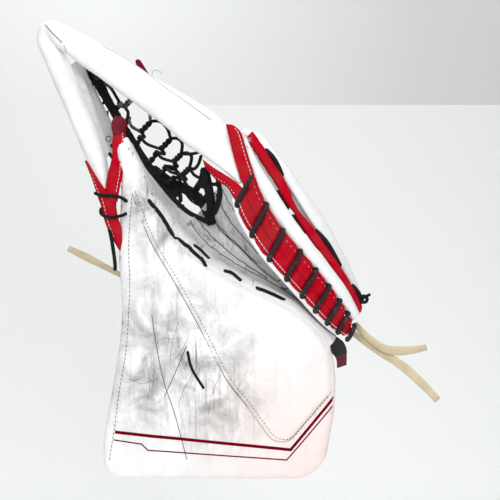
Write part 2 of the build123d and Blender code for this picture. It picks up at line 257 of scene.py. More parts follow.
def woven(name, base, shade, pitch=0.0012, strength=0.6):
    """Cloth or webbing: two crossed waves of thread, with a little fuzz."""
    material, tree, shader, add = graph(name)
    where = add("ShaderNodeTexCoord").outputs["Object"]
    threads = None
    for direction in ("X", "Z"):
        wave = add("ShaderNodeTexWave", {"bands_direction": direction}, Vector=where,
                   Scale=0.31 / pitch / 2, Distortion=0.4)
        threads = wave.outputs[1] if threads is None else math_node(add, "MULTIPLY", threads,
                                                                    wave.outputs[1])
    fuzz = add("ShaderNodeTexNoise", Vector=where, Scale=900.0, Detail=3.0).outputs[0]
    tone = mix(add, threads, base, shade)
    tone = mix(add, math_node(add, "MULTIPLY", fuzz, 0.25), tone, shade)
    tree.links.new(tone, shader.inputs["Base Color"])
    shader.inputs["Roughness"].default_value = 0.85
    shader.inputs["Sheen Weight"].default_value = 0.3
    bumps(add, tree, shader, [(threads, strength, pitch * 0.4), (fuzz, 0.25, 0.0003)])
    return material


def corded(name, base, worn, wear=0.25):
    """Round braided lace, by its own UV: u runs round the lace and v along it in millimetres."""
    material, tree, shader, add = graph(name)
    uv = add("ShaderNodeUVMap").outputs[0]
    heights = None
    for slope in (1.0, -1.0):
        split = add("ShaderNodeSeparateXYZ", Vector=uv)
        turn = math_node(add, "MULTIPLY", split.outputs[0], slope * math.tau)
        climb = math_node(add, "MULTIPLY", split.outputs[1], math.tau / BRAID)
        wave = math_node(add, "SINE", math_node(add, "ADD", turn, climb))
        heights = wave if heights is None else math_node(add, "MAXIMUM", heights, wave)
    where = add("ShaderNodeTexCoord").outputs["Object"]
    rub = add("ShaderNodeTexNoise", Vector=where, Scale=120.0, Detail=5.0).outputs[0]
    tone = mix(add, math_node(add, "MULTIPLY", ramp(add, rub, 0.55, 0.75), wear), base, worn)
    tree.links.new(tone, shader.inputs["Base Color"])
    shader.inputs["Roughness"].default_value = 0.6
    shader.inputs["Specular IOR Level"].default_value = 0.15
    bumps(add, tree, shader, [(heights, 0.7, 0.0006)])
    return material


def moulded(name, base, rough=0.5):
    """Moulded plastic with a fine spark-eroded grain."""
    material, tree, shader, add = graph(name)
    where = add("ShaderNodeTexCoord").outputs["Object"]
    grain = add("ShaderNodeTexNoise", Vector=where, Scale=1400.0, Detail=2.0).outputs[0]
    tone = mix(add, grain, base, tuple(min(c * 1.4, 1) for c in base[:3]) + (1.0,))
    tree.links.new(tone, shader.inputs["Base Color"])
    shader.inputs["Roughness"].default_value = rough
    bumps(add, tree, shader, [(grain, 0.2, 0.0001)])
    return material


WHITE = colour(0.86, 0.86, 0.865)
OFF_WHITE = colour(0.78, 0.785, 0.80)
CUFF_DIRT = [(tuple(point(4, 0, 112)), 0.085), (tuple(point(-15, 0, 130)), 0.096),
             (tuple(point(24, 0, 84)), 0.07),
             (tuple(point(-30, 0, 90)), 0.065), (tuple(point(-18, 0, 232)), 0.04),
             (tuple(point(-38, 0, 262)), 0.04)]
# Where the palm's darkening and streaks gather, in the band between the crease and the first seam line:
# painted shade there, together with the palm's dirt.
PALM_DIRT_AND_SHADE = [(tuple(point(10, 40, 240)), 0.085), (tuple(point(45, 20, 215)), 0.06),
             (tuple(point(-25, 20, 270)), 0.05)]
BLUSH = (tuple(point(125, 0, 25)), 0.15, colour(0.87, 0.66, 0.62))
RED_DEEP = colour(0.34, 0.001, 0.008)
MATERIALS = {
    "cuff": leather("glove_cuff_leather", WHITE, OFF_WHITE, 1.1, 0.95, 0.9, dirt_and_shade_at=CUFF_DIRT, tint=BLUSH,
                    streaks=(0.42, 0.6)),
    "white": leather("glove_white_leather", WHITE, OFF_WHITE, 1.0, 0.10, 0.0),
    "palm": leather("glove_palm_leather", colour(0.82, 0.82, 0.825), colour(0.70, 0.70, 0.71), 1.3, 0.55,
                    0.0, 0.5,
                    dirt_and_shade_at=PALM_DIRT_AND_SHADE, streaks=(-0.72, 0.95)),
    # A greyer copy of the white leather: painted shade for the thumb leg's lining and for the leg's inner
    # side.
    "lining_leather_painted_shade": leather("glove_inner_leather_painted_shade", colour(0.66, 0.66, 0.67), colour(0.55, 0.55, 0.56),
                              1.2, 0.35, 0.0),
    "red": leather("glove_red_leather", colour(0.46, 0.001, 0.014), RED_DEEP, 1.0, 0.10, 0.0, 0.6,
                   shine=0.01),
    "dark_red": leather("glove_dark_red_leather", colour(0.17, 0.003, 0.012), colour(0.10, 0.002, 0.009),
                        1.0, 0.1,
                        0.0, 0.6, shine=0.06),
    "piping": leather("glove_cream_piping", colour(0.66, 0.60, 0.46), colour(0.50, 0.44, 0.32), 0.8, 0.2),
    "stripe": leather("glove_crimson_print", colour(0.17, 0.001, 0.010), colour(0.13, 0.001, 0.008), 1.1,
                      0.0, shine=0.0),
    "black": leather("glove_black_leather", colour(0.007, 0.007, 0.009), colour(0.011, 0.011, 0.014), 1.2,
                     0.0,
                     rough=0.6, shine=0.10),
    "rawhide": leather("glove_rawhide", colour(0.60, 0.50, 0.33), colour(0.43, 0.35, 0.22), 1.6, 0.25,
                       0.0, 0.65),
    "lace": corded("glove_black_lace", colour(0.008, 0.008, 0.010), colour(0.05, 0.05, 0.05)),
    "band_lace": corded("glove_faded_lace", colour(0.026, 0.020, 0.023), colour(0.12, 0.10, 0.11), 0.7),
    "worn_lace": corded("glove_worn_lace", colour(0.06, 0.055, 0.04), colour(0.42, 0.38, 0.22), 0.9),
    "thread": corded("glove_white_thread", colour(0.80, 0.79, 0.77), colour(0.62, 0.60, 0.58)),
    "dark_thread": corded("glove_grey_thread", colour(0.045, 0.045, 0.045), colour(0.11, 0.11, 0.10)),
    "welt": leather("glove_welt_seam", colour(0.55, 0.55, 0.57), colour(0.45, 0.45, 0.47), 0.8, 0.1),
    "scuff": moulded("glove_scuff_mark", colour(0.10, 0.10, 0.095), 0.8),
    "lining": woven("glove_lining_cloth", colour(0.030, 0.030, 0.034), colour(0.012, 0.012, 0.014)),
    "webbing": woven("glove_black_webbing", colour(0.014, 0.014, 0.016), colour(0.005, 0.005, 0.006),
                     0.0016),
    "red_webbing": woven("glove_dark_red_webbing", colour(0.13, 0.004, 0.014), colour(0.06, 0.002, 0.008),
                         0.0016),
    "hooks": woven("glove_hook_patch", colour(0.030, 0.030, 0.030), colour(0.012, 0.012, 0.012), 0.0009,
                   strength=1.0),
    "foam": woven("glove_foam", colour(0.16, 0.16, 0.17), colour(0.10, 0.10, 0.11), 0.0022, strength=0.3),
}


# ---------------------------------------------------------------- mesh helpers
def make(name, vertices, faces, material, body=None, replaces=(), uvs=None):
    """A smooth-shaded mesh piece that rides on a body."""
    mesh = bpy.data.meshes.new(name)
    mesh.from_pydata([tuple(v) for v in vertices], [], faces)
    if uvs:
        layer = mesh.uv_layers.new(name="UVMap")
        for loop in mesh.loops:
            layer.data[loop.index].uv = uvs[loop.index]
    mesh.update()
    for polygon in mesh.polygons:
        polygon.use_smooth = True
    piece = bpy.data.objects.new(name, mesh)
    bpy.context.scene.collection.objects.link(piece)
    mesh.materials.append(MATERIALS[material])
    if body:
        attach(piece, body)
    if replaces:
        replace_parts(piece, *replaces)
    return piece


def lattice(rows, closed=False):
    """Vertices and faces of rows of points; closed joins each row's ends and fills the end rows."""
    wide = len(rows[0])
    vertices = [p for row in rows for p in row]
    faces = []
    for i in range(len(rows) - 1):
        for j in range(wide if closed else wide - 1):
            k = (j + 1) % wide
            faces.append((i * wide + j, i * wide + k, (i + 1) * wide + k, (i + 1) * wide + j))
    if closed:
        for row, flip in ((0, False), (len(rows) - 1, True)):
            loop = [row * wide + j for j in range(wide)]
            centre = len(vertices)
            vertices.append(sum((vertices[j] for j in loop), Vector()) / wide)
            for j in range(wide):
                pair = (loop[(j + 1) % wide], loop[j])
                faces.append((centre, *(reversed(pair) if flip else pair)))
    return vertices, faces


def solidify(piece, thickness, offset=0.0):
    """Gives a sheet its thickness in millimetres, with rounded edges."""
    modifier = piece.modifiers.new("thickness", "SOLIDIFY")
    modifier.thickness = thickness * MM
    modifier.offset = offset
    return piece


def frames(points):
    """The direction and two normals at each point of a line, carried along without twist."""
    found, normal = [], None
    for i, _ in enumerate(points):
        ahead = (points[min(i + 1, len(points) - 1)] - points[max(i - 1, 0)]).normalized()
        if normal is None:
            normal = ahead.orthogonal().normalized()
        normal = (normal - ahead * normal.dot(ahead)).normalized()
        found.append((ahead, normal, ahead.cross(normal)))
    return found


def tube_data(points, radius, sides, flat, up):
    """Vertices, faces and UVs of a round tube along points, its ends rounded off."""
    rows, run, lengths = [], 0.0, []
    for i, (place, (ahead, a, b)) in enumerate(zip(points, frames(points))):
        if up is not None:
            b = ahead.cross(up).normalized()
            a = b.cross(ahead).normalized()
        run += (place - points[i - 1]).length if i else 0
        lengths.append(run)
        rows.append([
            place + (a * math.cos(t) * flat + b * math.sin(t)) * radius
            for t in (math.tau * j / sides for j in range(sides))
        ])
    for index, sign in ((0, -1), (-1, 1)):
        ahead = frames(points)[index][0] * sign
        centre = points[index]
        ring = [centre + ahead * radius * TUBE_END + (p - centre) * TUBE_END for p in rows[index]]
        if sign < 0:
            rows.insert(0, ring)
            lengths.insert(0, -radius * TUBE_END)
        else:
            rows.append(ring)
            lengths.append(run + radius * TUBE_END)
    vertices, faces = lattice(rows, closed=True)
    uvs = []
    for face in faces:
        for corner in face:
            row, column = divmod(corner, sides)
            if row >= len(rows):
                uvs.append((0.5, lengths[0] / MM))
            else:
                wrap = 1.0 if column == 0 and (sides - 1) in [c % sides for c in face] else column / sides
                uvs.append((wrap, lengths[row] / MM))
    return vertices, faces, uvs


def joined(name, tubes, material, body, replaces=()):
    """One piece made of tubes, each (points, radius, sides, flatness, facing)."""
    vertices, faces, uvs = [], [], []
    for tube in tubes:
        more, loops, marks = tube_data(*tube)
        faces += [tuple(i + len(vertices) for i in face) for face in loops]
        vertices += more
        uvs += marks
    return make(name, vertices, faces, material, body, replaces, uvs)


def laces(name, lines, material="lace", diameter=LACE, body="cuff", replaces=(), sides=8, flat=1.0,
          up=None):
    """One piece made of round laces along lists of points."""
    return joined(name, [(line, diameter * MM / 2, sides, flat, up) for line in lines], material, body,
                  replaces)


def stitch_row(name, line, normals, length=3.2, gap=1.6, material="thread", body="cuff", width=0.7):
    """Separate stitches along a line of points, each a short bent thread that dips in at its ends."""
    runs, cursor, total = [], 0.0, [0.0]
    for a, b in zip(line, line[1:]):
        total.append(total[-1] + (b - a).length)

    def at(distance):
        i = next((k for k in range(len(total) - 1) if total[k + 1] >= distance), len(total) - 2)
        t = (distance - total[i]) / max(total[i + 1] - total[i], 1e-9)
        return line[i].lerp(line[i + 1], t), normals[i].lerp(normals[i + 1], t).normalized()

    while cursor + length * MM < total[-1]:
        stitch = []
        for k in range(5):
            place, normal = at(cursor + length * MM * k / 4)
            lift = math.sin(math.pi * k / 4) * 0.75 - 0.35
            stitch.append(place + normal * lift * width * MM)
        runs.append(stitch)
        cursor += (length + gap) * MM
    return laces(name, runs, material, width, body, sides=6)


def bar(name, cuts, material, body, replaces, along, around, square, shape):
    """A padded bar through (centre, half width, half depth, width direction, depth direction) cuts."""
    flat = [(*c[0], c[1], c[2], *c[3], *c[4]) for c in cuts]
    rows = []
    for step, values in enumerate(smooth(flat, along)):
        centre, wide, deep = Vector(values[:3]), values[3], values[4]
        across, back = Vector(values[5:8]).normalized(), Vector(values[8:11]).normalized()
        row = []
        for k in range(around):
            angle = math.tau * k / around
            c, s = math.cos(angle), math.sin(angle)
            x = math.copysign(abs(c) ** (2 / square), c)
            y = math.copysign(abs(s) ** (2 / square), s)
            place = centre + (across * x * wide + back * y * deep) * MM
            out = (across * c + back * s).normalized()
            row.append(place + out * shape(step / (along - 1), angle, place) * MM)
        rows.append(row)
    vertices, faces = lattice(rows, closed=True)
    return make(name, vertices, faces, material, body, replaces)


# ---------------------------------------------------------------- camera, light and backdrop
def make_camera():
    """The camera, straight in front of the cuff."""
    data = bpy.data.cameras.new("camera")
    data.sensor_width = 36.0
    data.lens = 75.8
    camera = bpy.data.objects.new("camera", data)
    camera.location = point(62, -1000, 218.5)
    camera.rotation_euler = (math.pi / 2, 0, 0)
    bpy.context.scene.collection.objects.link(camera)
    bpy.context.scene.camera = camera


def make_light():
    """Soft studio lamps, and a pale room: a floor, and a wall whose upper part is greyer, with each sheet's
    colour graded across it as painted light falloff.
    """
    bpy.context.scene.view_settings.view_transform = "Standard"
    world = bpy.data.worlds.new("pale_room")
    bpy.context.scene.world = world
    world.use_nodes = True
    world.node_tree.nodes["Background"].inputs[0].default_value = (0.965, 0.98, 1.0, 1.0)
    world.node_tree.nodes["Background"].inputs[1].default_value = 0.45
    lamps = [
        ("window", (-0.55, -1.3, 1.35), (0.0, 0.0, 0.22), 0.9, 12.0, (1.0, 0.99, 0.975)),
        ("front_fill", (0.30, -1.7, 0.50), (0.05, 0.0, 0.22), 0.5, 14.0, (1.0, 1.0, 1.0)),
        ("rim_light", (0.5, 0.35, 1.3), (0.0, 0.0, 0.25), 0.8, 4.0, (1.0, 1.0, 1.0)),
        ("back_fill", (-0.5, 1.3, 1.5), (0.0, 0.0, 0.22), 1.0, 7.0, (1.0, 1.0, 1.0)),
        ("wall_wash", (0.1, 0.4, 2.6), (0.1, 1.7, 0.2), 1.4, 32.0, (1.0, 1.0, 0.99)),
    ]
    for name, place, target, size, power, tone in lamps:
        data = bpy.data.lights.new(name, "AREA")
        data.size, data.energy, data.color = size, power, tone
        lamp = bpy.data.objects.new(name, data)
        lamp.location = place
        lamp.rotation_euler = (Vector(target) - Vector(place)).to_track_quat("-Z", "Y").to_euler()
        bpy.context.scene.collection.objects.link(lamp)
    wall, reach, floor, line = 1.7, 4.0, -0.46, 0.598
    # Each sheet's colour is graded as painted light falloff: the lower wall is lighter towards the bottom,
    # the upper wall is darker to the right, and the floor is lighter towards the wall.
    for name, axis, span, painted_falloff_tones, near, far in (
        ("lower_wall", 2, (line, -0.36), (0.74, 0.92), (wall, floor), (wall, line)),
        ("upper_wall", 0, (-0.33, 0.51), (0.74, 0.58), (wall, line), (wall, reach)),
        ("floor", 1, (-3.0, wall), (0.80, 0.86), (-reach, floor), (wall, floor)),
    ):
        material, tree, shader, add = graph(name + "_painted_falloff")
        where = add("ShaderNodeTexCoord").outputs["Object"]
        place = add("ShaderNodeSeparateXYZ", Vector=where).outputs[axis]
        paper_with_painted_falloff = mix(add, ramp(add, place, *span), *(colour(t - 0.012, t, t - 0.012) for t in painted_falloff_tones))
        tree.links.new(paper_with_painted_falloff, shader.inputs["Base Color"])
        shader.inputs["Roughness"].default_value = 0.9
        mesh = bpy.data.meshes.new(name)
        corners = [(-reach, *near), (reach, *near), (reach, *far), (-reach, *far)]
        mesh.from_pydata(corners, [], [(0, 1, 2, 3)])
        mesh.materials.append(material)
        sheet = bpy.data.objects.new(name, mesh)
        bpy.context.scene.collection.objects.link(sheet)


# ---------------------------------------------------------------- rawhide ties
def follow(control):
    """Points along the smooth NURBS line of a cord's route."""
    data = bpy.data.curves.new("route", "CURVE")
    data.dimensions = "3D"
    data.resolution_u = 16
    spline = data.splines.new("NURBS")
    spline.points.add(len(control) - 1)
    for target, place in zip(spline.points, control):
        target.co = (*place, 1)
    spline.order_u = 3
    spline.use_endpoint_u = True
    holder = bpy.data.objects.new("route", data)
    bpy.context.scene.collection.objects.link(holder)
    mesh = bpy.data.meshes.new_from_object(holder)
    points = [v.co.copy() for v in mesh.vertices]
    bpy.data.objects.remove(holder)
    return points


def make_rawhide(name, control, widths, body):
    """A flat rawhide tie that twists and cups a little, cut square at its end."""
    path = follow([point(*p) for p in control])
    count = len(path)
    rows = []
    for i, (place, (ahead, _, _)) in enumerate(zip(path, frames(path))):
        t = i / (count - 1)
        side = ahead.cross(INTO_GLOVE).normalized()
        side = (side + INTO_GLOVE * 0.22 * math.sin(3.0 * t + len(name))).normalized()
        face = side.cross(ahead).normalized()
        width = smooth([(w,) for w in widths], count)[i][0]
        row = []
        for k in range(16):
            angle = math.tau * k / 16
            x = math.copysign(abs(math.cos(angle)) ** 0.55, math.cos(angle)) * width / 2
            y = math.copysign(abs(math.sin(angle)) ** 0.8, math.sin(angle)) * RAWHIDE / 2
            cup = 0.5 * (x / (width / 2)) ** 2
            rough = wobble(place + side * x * MM, 4, 3) * 0.25
            row.append(place + (side * (x + rough) + face * (y + cup)) * MM)
        rows.append(row)
    vertices, faces = lattice(rows, closed=True)
    piece = make(name + "_tie", vertices, faces, "rawhide", body, (name,))


def make_ties():
    """The three rawhide ties, on the same routes as their CAD solids."""
    make_rawhide("heel_rawhide_upper", [(165, 34, 146), (180, 20, 128), (204, 10, 119), (230, 2, 126)],
                 (6, 7, 8, 8.6, 6), "fingers")
    make_rawhide("heel_rawhide_lower", [(162, 36, 138), (180, 24, 124), (216, 8, 104), (240, -2, 76)],
                 (6, 7, 8, 8.8, 7), "fingers")
    make_rawhide("thumb_rawhide", [(-62, 14, 194), (-76, 6, 202), (-94, 0, 212), (-110, -4, 220)],
                 (5, 6, 6.6, 7, 5.5), "cuff")


# ---------------------------------------------------------------- cuff and thumb board
def outline_of(node):
    """The outline of a flat CAD piece's front face, as evenly spaced (X, Z) in millimetres."""
    mesh = frame["nodes"][node].data
    front = min(v.co.y for v in mesh.vertices)
    work = bmesh.new()
    work.from_mesh(mesh)
    bmesh.ops.remove_doubles(work, verts=work.verts, dist=1e-6)
    edges = [e for e in work.edges if all(abs(v.co.y - front) < 2e-5 for v in e.verts)
             and any(abs(f.normal.y) < 0.5 for f in e.link_faces)]
    links = {}
    for edge in edges:
        a, b = (v.index for v in edge.verts)
        links.setdefault(a, []).append(b)
        links.setdefault(b, []).append(a)
    start = min(links)
    loop, previous = [start], None
    while True:
        ahead = [i for i in links[loop[-1]] if i != previous]
        previous = loop[-1]
        if not ahead or ahead[0] == start:
            break
        loop.append(ahead[0])
    work.verts.ensure_lookup_table()
    corners = [(work.verts[i].co.x / MM, work.verts[i].co.z / MM) for i in loop]
    work.free()
    return polyline(corners + corners[:1], 1.8)[:-1]


class Edge:
    """Distance in the front plane from an outline."""

    def __init__(self, outline):
        self.points = outline
        self.tree = KDTree(len(outline))
        for i, (x, z) in enumerate(outline):
            self.tree.insert((x, 0, z), i)
        self.tree.balance()

    def distance(self, x, z):
        return self.tree.find((x, 0, z))[2]


BOARD = Edge(outline_of("cuff_front_skin"))
FRONT_ROUND = 9.0
BACK_ROUND = 6.0
PATCH_GRID, PATCH_SHOULDER = 3.0, 2.0


def board_front(x, z):
    """Depth of the board's padded front at X and Z: rounded at its edge, a little crowned inside."""
    inside = BOARD.distance(x, z)
    round_off = 0.0
    if inside < FRONT_ROUND:
        round_off = FRONT_ROUND - math.sqrt(max(FRONT_ROUND ** 2 - (FRONT_ROUND - inside) ** 2, 0))
    crown = 3.0 * ease(inside / 55)
    place = Vector((x, 0, z)) * MM
    dents = 0.9 * wobble(place, 60, 1) + 0.35 * wobble(place, 22, 2)
    return round_off - crown - dents * ease(inside / 14)


def on_front(x, z, lift=0.0):
    """A place on the board's front, lifted off it in millimetres."""
    return point(x, board_front(x, z) - lift, z)


def front_normal(x, z):
    """The outward direction of the board's front."""
    dx = (on_front(x + 1, z) - on_front(x - 1, z)).normalized()
    dz = (on_front(x, z + 1) - on_front(x, z - 1)).normalized()
    return dx.cross(dz).normalized()


def patch(name, outline, lift, material, inside=True):
    """A thin panel on the board's front, raised by lift inside its rounded edge."""
    count = len(outline)
    rim = Edge(outline)
    points = [Vector(p) for p in outline]
    if inside:
        xs, zs = [p[0] for p in outline], [p[1] for p in outline]
        x = min(xs)
        while x < max(xs):
            z = min(zs)
            while z < max(zs):
                if within(x, z, outline) and rim.distance(x, z) > PATCH_GRID * 0.6:
                    points.append(Vector((x, z)))
                z += PATCH_GRID
            x += PATCH_GRID
    edges = [(i, (i + 1) % count) for i in range(count)]
    verts, _, faces, _, _, _ = delaunay_2d_cdt(points, edges, [], 1, 1e-5)
    places = []
    for v in verts:
        rise = lift * ease(rim.distance(v.x, v.y) / PATCH_SHOULDER) if inside else lift
        places.append(on_front(v.x, v.y, rise + (0.05 if inside else 0)))
    return make(name, places, [tuple(reversed(f)) for f in faces], material, "cuff")


def within(x, z, outline):
    """Whether a point is inside an outline."""
    found = False
    for (x1, z1), (x2, z2) in zip(outline, outline[1:] + outline[:1]):
        if (z1 > z) != (z2 > z) and x < (x2 - x1) * (z - z1) / (z2 - z1) + x1:
            found = not found
    return found


EDGE_SWELL, EDGE_SWELL_REACH = 3.6, 12.0
BACK_SEAM = 9.0


def make_board():
    """The padded board: remeshed from its outline, then rounded and crowned."""
    outline = BOARD.points
    count = len(outline)
    vertices = [point(x, 0, z) for x, z in outline] + [point(x, BOARD_DEPTH, z) for x, z in outline]
    faces = [tuple(range(count)), tuple(range(2 * count - 1, count - 1, -1))]
    faces += [(i, i + count, (i + 1) % count + count, (i + 1) % count) for i in range(count)]
    piece = make("cuff_board", vertices, faces, "cuff")
    remesh(piece, 2.4)
    for v in piece.data.vertices:
        x, depth, z = v.co.x / MM, (v.co.y - FRONT) / MM, v.co.z / MM
        inside = BOARD.distance(x, z)
        half = BOARD_DEPTH / 2
        if depth < half:
            if inside < FRONT_ROUND and depth < FRONT_ROUND:
                reach = math.hypot(FRONT_ROUND - inside, FRONT_ROUND - depth)
                shift = 1 - FRONT_ROUND / max(reach, 1e-6)
                if reach > FRONT_ROUND * 0.7:
                    v.co += toward_middle(x, z) * (FRONT_ROUND - inside) * shift * MM
                    depth += (FRONT_ROUND - depth) * shift
                    v.co.y = FRONT + depth * MM
                inside = BOARD.distance(v.co.x / MM, v.co.z / MM)
            if depth < 3.5 and inside > 4:
                v.co.y = FRONT + board_front(v.co.x / MM, v.co.z / MM) * MM
        elif inside < BACK_ROUND and depth > BOARD_DEPTH - BACK_ROUND:
            back = BOARD_DEPTH - depth
            reach = math.hypot(BACK_ROUND - inside, BACK_ROUND - back)
            shift = 1 - BACK_ROUND / max(reach, 1e-6)
            v.co += toward_middle(x, z) * (BACK_ROUND - inside) * shift * MM
            v.co.y = FRONT + (BOARD_DEPTH - back - (BACK_ROUND - back) * shift) * MM
    relax(piece, 3, 0.4)
    for v in piece.data.vertices:
        x, z = v.co.x / MM, v.co.z / MM
        inside = BOARD.distance(x, z)
        if inside < EDGE_SWELL_REACH and x < -30:
            reach = EDGE_SWELL * ease((z - 12) / 30) * (1 - inside / EDGE_SWELL_REACH)
            v.co -= toward_middle(x, z) * reach * MM
    piece.data.materials.append(MATERIALS["lining"])
    for polygon in piece.data.polygons:
        c = polygon.center
        if polygon.normal.y > 0.6 and BOARD.distance(c.x / MM, c.z / MM) > BACK_SEAM:
            polygon.material_index = 1
    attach(piece, "cuff")
    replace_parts(piece, "cuff_front_skin", "cuff_side_wall", "cuff_back_skin", "cuff_foam", "cuff_back_foam",
                "cuff_stiffener")


def make_back_binding():
    """The binding tape over the seam between the board's leather and its dark lining, at the back."""
    board = bpy.data.objects["cuff_board"]
    runs, run = [], []
    for x, z in BOARD.points + BOARD.points[:1]:
        inward = toward_middle(x, z) * BACK_SEAM
        spot = (x + inward.x, z + inward.z)
        hit, place, normal, _ = board.ray_cast(Vector((spot[0] * MM, 1.0, spot[1] * MM)), TO_VIEWER)
        if hit and normal.y > 0.5 and BOARD.distance(*spot) > BACK_SEAM - 0.6:
            run.append(place + normal * 0.2 * MM)
        elif run:
            runs.append(run)
            run = []
    runs = [smooth_places(r) for r in runs + [run] if len(r) > 6]
    laces("back_binding", runs, "lining", 5.0, "cuff", sides=10, flat=0.45, up=INTO_GLOVE)


def smooth_places(places):
    """A line of places with its steps evened out, its ends kept."""
    for _ in range(6):
        places = places[:1] + [(a + b * 2 + c) / 4 for a, b,
                               c in zip(places, places[1:], places[2:])] + places[-1:]
    return places


def toward_middle(x, z):
    """The direction in the front plane from the nearest point of the board's edge to a place."""
    near = BOARD.tree.find((x, 0, z))[0]
    away = Vector((x - near.x, 0, z - near.z))
    if away.length > 1.0:
        return away.normalized()
    i = BOARD.tree.find((x, 0, z))[1]
    a, b = BOARD.points[i - 3], BOARD.points[(i + 3) % len(BOARD.points)]
    side = Vector((-(b[1] - a[1]), 0, b[0] - a[0])).normalized()
    return side if within(x + side.x * 3, z + side.z * 3, BOARD.points) else -side


def remesh(piece, size):
    """Voxel remeshes a piece and keeps its material."""
    modifier = piece.modifiers.new("remesh", "REMESH")
    modifier.mode = "VOXEL"
    modifier.voxel_size = size * MM
    apply(piece)


def apply(piece):
    """Applies all of a piece's modifiers to its mesh."""
    shaped = bpy.data.meshes.new_from_object(piece.evaluated_get(bpy.context.evaluated_depsgraph_get()))
    old = piece.data
    piece.modifiers.clear()
    piece.data = shaped
    bpy.data.meshes.remove(old)
    for polygon in shaped.polygons:
        polygon.use_smooth = True


def relax(piece, times, amount):
    """Evens out a mesh by moving each vertex towards its neighbours."""
    work = bmesh.new()
    work.from_mesh(piece.data)
    for _ in range(times):
        bmesh.ops.smooth_vert(work, verts=work.verts, factor=amount, use_axis_x=True, use_axis_y=True,
                              use_axis_z=True)
    work.to_mesh(piece.data)
    work.free()


def front_line(corners, count=60, step=None):
    """Points and outward normals on the board's front along a soft line, or straight runs, of (X, Z)."""
    flat = polyline(corners, step) if step else smooth(corners, count)
    flat = [p for p in flat if BOARD.distance(*p[:2]) > 0.8 and within(*p[:2], BOARD.points)]
    return [on_front(x, z) for x, z in flat], [front_normal(x, z) for x, z in flat]


def make_board_trim():
    """Raised overlay panel with its piping and stitching, the stripes, the left seam, and one lace end."""
    overlay = outline_of("cuff_overlay_panel")
    piece = patch("overlay_panel", overlay, 1.6, "cuff")
    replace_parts(piece, "cuff_overlay_panel")
    seam = [(-50, 272), (-33, 228), (-11, 190), (11, 151), (39, 97), (58, 72), (79, 43)]
    corner = [(79, 43), (83, 39.2), (88, 37.2), (94, 37), (99, 38)]
    upper = smooth(seam, 90)
    lower = smooth(corner, 14)[:-1] + polyline([(99, 38), (139, 84)], 2)
    points, normals = front_line(upper, step=2.0)
    laces("overlay_seam", [[p + n * 0.2 * MM for p, n in zip(points, normals)]], "dark_thread", 0.6,
          sides=8)
    points, normals = front_line(smooth(seam, 60)[50:] + lower[1:], step=2.0)
    laces("overlay_piping", [points], "piping", 1.6, sides=8)
    inner = [(x + 3.2, z + 2.4) for x, z in upper[:-1] + lower[:-4]]
    points, normals = front_line(inner, step=2.0)
    points = [p + n * 1.5 * MM for p, n in zip(points, normals)]
    stitch_row("overlay_stitches", points, normals, 2.2, 1.3, "dark_thread", width=0.6)
    for node, lift in (("cuff_stripe_wide", 0.22), ("cuff_stripe_fine", 0.22)):
        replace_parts(patch(node + "_print", outline_of(node), lift, "stripe", inside=False), node)
    left = [(-48, 268), (-51, 225), (-50, 190), (-51, 160), (-54, 120), (-60, 84), (-65, 46), (-70, 16)]
    points, normals = front_line(left, 120)
    points, normals = onto((bpy.data.objects["cuff_board"],), [(x - 2.2, z) for x, z in in_front(points)],
                           0.2)
    stitch_row("left_seam_stitches", points, normals, 2.4, 1.6, "dark_thread", width=0.55)
    scratches = [
        [(-31, 157), (-27, 130), (-20, 95), (-9, 62), (2, 20)], [(2, 128), (-8, 104), (-19, 80)],
        [(12, 108), (0, 88), (-6, 70)], [(-6, 150), (-12, 128), (-14, 110)],
        [(34, 100), (26, 82), (22, 60)],
        [(-52, 96), (-40, 92), (-26, 96)], [(60, 160), (68, 145), (74, 128)],
        [(-38, 120), (-34, 100), (-33, 84)],
        [(118, 96), (122, 78), (124, 60)], [(45, 186), (47, 178), (52, 172)],
        [(4, 140), (-1, 126), (-9, 116)],
        [(20, 118), (12, 100), (9, 84)],
    ]
    marks = []
    for corners in scratches:
        points, normals = front_line(corners, 40)
        marks.append([p - n * 0.06 * MM for p, n in zip(points, normals)])
    laces("cuff_long_scratch", marks[:2], "scuff", 1.0, flat=0.3, up=TO_VIEWER)
    laces("cuff_scratches", marks[2:], "scuff", 0.5, flat=0.4, up=TO_VIEWER)
    mark, normals = front_line([(3, 122), (7, 106), (18, 88)], 14)
    laces("cuff_lace_end", [[p + n * 0.4 * MM for p, n in zip(mark, normals)]], "lace", 2.6, flat=0.6,
          up=TO_VIEWER)


def onto(pieces, flat, lift=0.2):
    """Points and normals where lines straight back from (X, Z) places first meet the front of a piece."""
    pieces = pieces if isinstance(pieces, tuple) else (pieces,)
    trees = [BVHTree.FromPolygons([v.co for v in p.data.vertices], [f.vertices for f in p.data.polygons])
             for p in pieces]
    points, normals = [], []
    for x, z in flat:
        hits = [tree.ray_cast(Vector((x * MM, -1, z * MM)), INTO_GLOVE)[:2] for tree in trees]
        hits = [hit for hit in hits if hit[0] is not None]
        if hits:
            place, normal = min(hits, key=lambda hit: hit[0].y)
            normal = normal if normal.y < 0 else -normal
            points.append(place + normal * lift * MM)
            normals.append(normal)
    return points, normals


